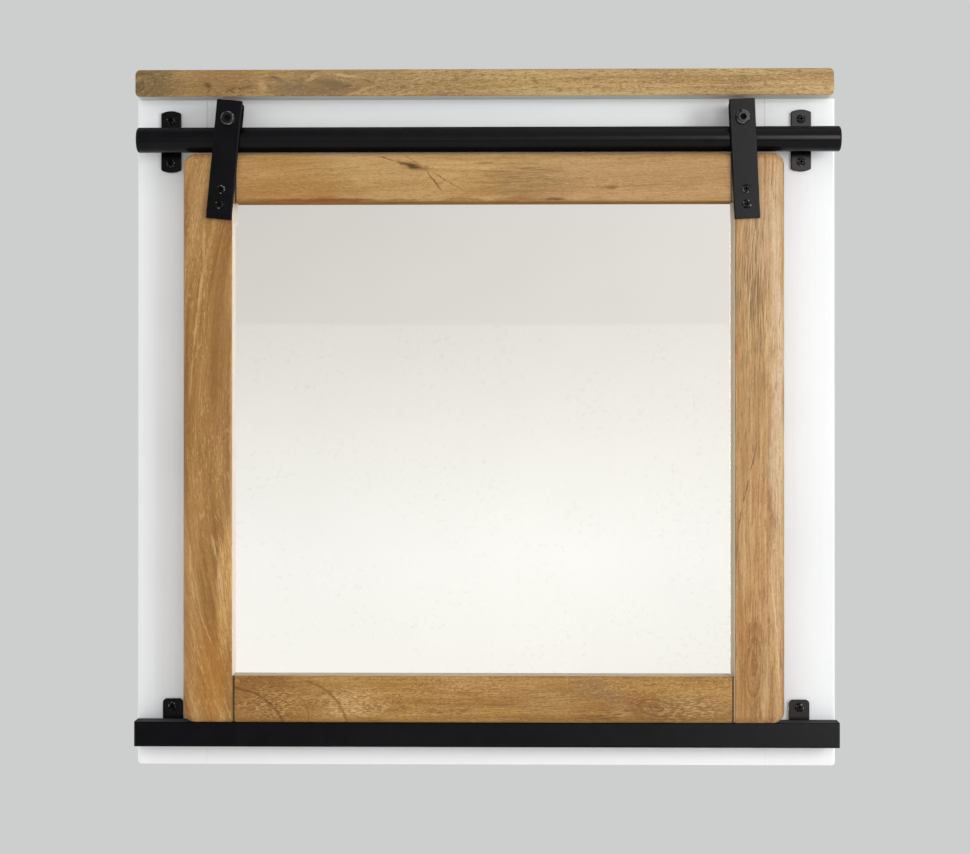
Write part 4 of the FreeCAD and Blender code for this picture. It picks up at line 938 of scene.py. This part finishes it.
class Studio(Graph):
    """The world: pale to the camera, soft light on the object, and a plain room in the mirror.

    The room is laid out by the direction of a reflected ray: its side, to the right, and its height.
    """

    # The height at which the wall ends and the ceiling starts, and the depth of the line between them
    CEILING = 0.0522
    CEILING_LINE = 0.0004
    PLASTER_SHARE = 0.12
    # How strongly the wall brightens towards one corner, and the height about which it does so
    SLANT = 4.5
    SLANT_HEIGHT = -0.07
    # Extra light of the spot in the middle and of the window, and the light of the side behind the part
    SPOT_LIGHT = 0.05
    WINDOW_LIGHT = 13.5
    BEHIND_LIGHT = 0.75

    def __init__(self):
        world = bpy.data.worlds.new("studio")
        world.use_nodes = True
        scene.world = world
        super().__init__(world.node_tree)
        path = self.tree.nodes.new("ShaderNodeLightPath").outputs
        lit = self.choose(path["Is Glossy Ray"], self.glow(linear(250, 250, 250), AMBIENT), self.room())
        shown = self.math("MAXIMUM", path["Is Camera Ray"], path["Is Transmission Ray"])
        output = self.tree.nodes.new("ShaderNodeOutputWorld")
        self.join(self.choose(shown, lit, self.glow(BACKDROP, 1.0)), output.inputs["Surface"])

    def glow(self, colour, strength):
        node = self.tree.nodes.new("ShaderNodeBackground")
        self.feed(node.inputs["Color"], colour)
        self.feed(node.inputs["Strength"], strength)
        return node.outputs[0]

    def choose(self, share, first, second):
        node = self.tree.nodes.new("ShaderNodeMixShader")
        self.join(share, node.inputs["Fac"])
        self.join(first, node.inputs[1])
        self.join(second, node.inputs[2])
        return node.outputs[0]

    def wall(self, direction, height):
        """The colour of a cream plaster wall under a greyer ceiling."""
        heights = (
            (-0.112, (247, 244, 238)), (-0.058, (249, 247, 242)), (-0.004, (242, 239, 233)),
            (self.CEILING, (231, 227, 221)), (self.CEILING + self.CEILING_LINE, (225, 221, 215)),
            (0.104, (221, 217, 212)),
        )
        # A ramp runs from 0 to 1, so heights are stretched about its middle
        stretch, middle = 2.5, 0.5
        stops = [(middle + stretch * at, linear(*tone)) for at, tone in heights]
        tone = self.ramp(self.math("MULTIPLY_ADD", height, stretch, middle), stops)
        plaster = self.between(self.noise(direction, scale=420.0, roughness=0.7), 0.54, 0.72)
        patches = self.between(self.noise(direction, scale=34.0, detail=2.0), 0.36, 0.62, 0.2, 1.0)
        line_foot = self.CEILING - self.CEILING_LINE / 2
        on_wall = self.between(height, line_foot, self.CEILING, self.PLASTER_SHARE, 0.0)
        return self.mix(self.times(plaster, patches, on_wall), tone, linear(150, 140, 126))

    def brightness(self, side, height):
        """Shade to the left and near the floor, a soft spot in the middle and a window to the right."""
        left = self.between(side, -0.175, -0.14, 0.4, 1.0)
        far_left = self.between(side, -0.5, -0.35, 0.85, 0.0)
        shade = self.math("MAXIMUM", left, far_left)
        shade = self.times(shade, self.between(height, -0.17, -0.12, 0.6, 1.0))
        slant = self.times(side, self.math("SUBTRACT", height, self.SLANT_HEIGHT), self.SLANT)
        near = self.between(self.math("ABSOLUTE", side), 0.14, 0.17, 1.0, 0.0)
        level = self.math("MULTIPLY_ADD", slant, near, shade)
        bright_spot = self.oval(self.combine(side, height, 0.0), centre=(0.012, -0.055), radii=(0.13, 0.1))
        level = self.math("ADD", level, self.between(bright_spot, 0.0, 1.0, self.SPOT_LIGHT, 0.0))
        window = self.times(
            self.between(side, 0.11, 0.16), self.between(side, 0.32, 0.42, 1.0, 0.0),
            self.between(height, -0.3, 0.12), self.between(height, 0.3, 0.42, 1.0, 0.0),
        )
        return self.math("MULTIPLY_ADD", window, self.WINDOW_LIGHT, level)

    def room(self):
        """A plain room before the part, and even light from behind it."""
        direction = self.tree.nodes.new("ShaderNodeTexCoord").outputs["Generated"]
        axes = self.split(direction)
        level = self.brightness(axes["X"], axes["Z"])
        behind = self.between(axes["Y"], -0.05, 0.05)
        change = self.math("SUBTRACT", self.BEHIND_LIGHT, level)
        level = self.math("MULTIPLY_ADD", behind, change, level)
        return self.glow(self.wall(direction, axes["Z"]), level)


def set_camera():
    """The photograph's viewpoint, level with the middle of the mirror and a little to its right."""
    data = bpy.data.cameras.new("camera")
    data.sensor_fit = "HORIZONTAL"
    data.sensor_width = SENSOR_WIDTH
    data.lens = FOCAL_LENGTH
    camera = bpy.data.objects.new("camera", data)
    camera.location = CAMERA_PLACE
    yaw, pitch = math.radians(CAMERA_YAW), math.radians(CAMERA_PITCH)
    ahead = Vector((math.sin(yaw) * math.cos(pitch), math.cos(yaw) * math.cos(pitch), math.sin(pitch)))
    camera.rotation_euler = ahead.to_track_quat("-Z", "Y").to_euler()
    scene.collection.objects.link(camera)
    scene.camera = camera


lay_floor()
soft_box("key", place=(2.1, -2.1, 0.25), width=0.9, height=0.9, watts=27.5)
soft_box("back", place=(0.9, 2.4, 0.9), width=1.6, height=1.2, watts=3.0)
Studio()
set_camera()
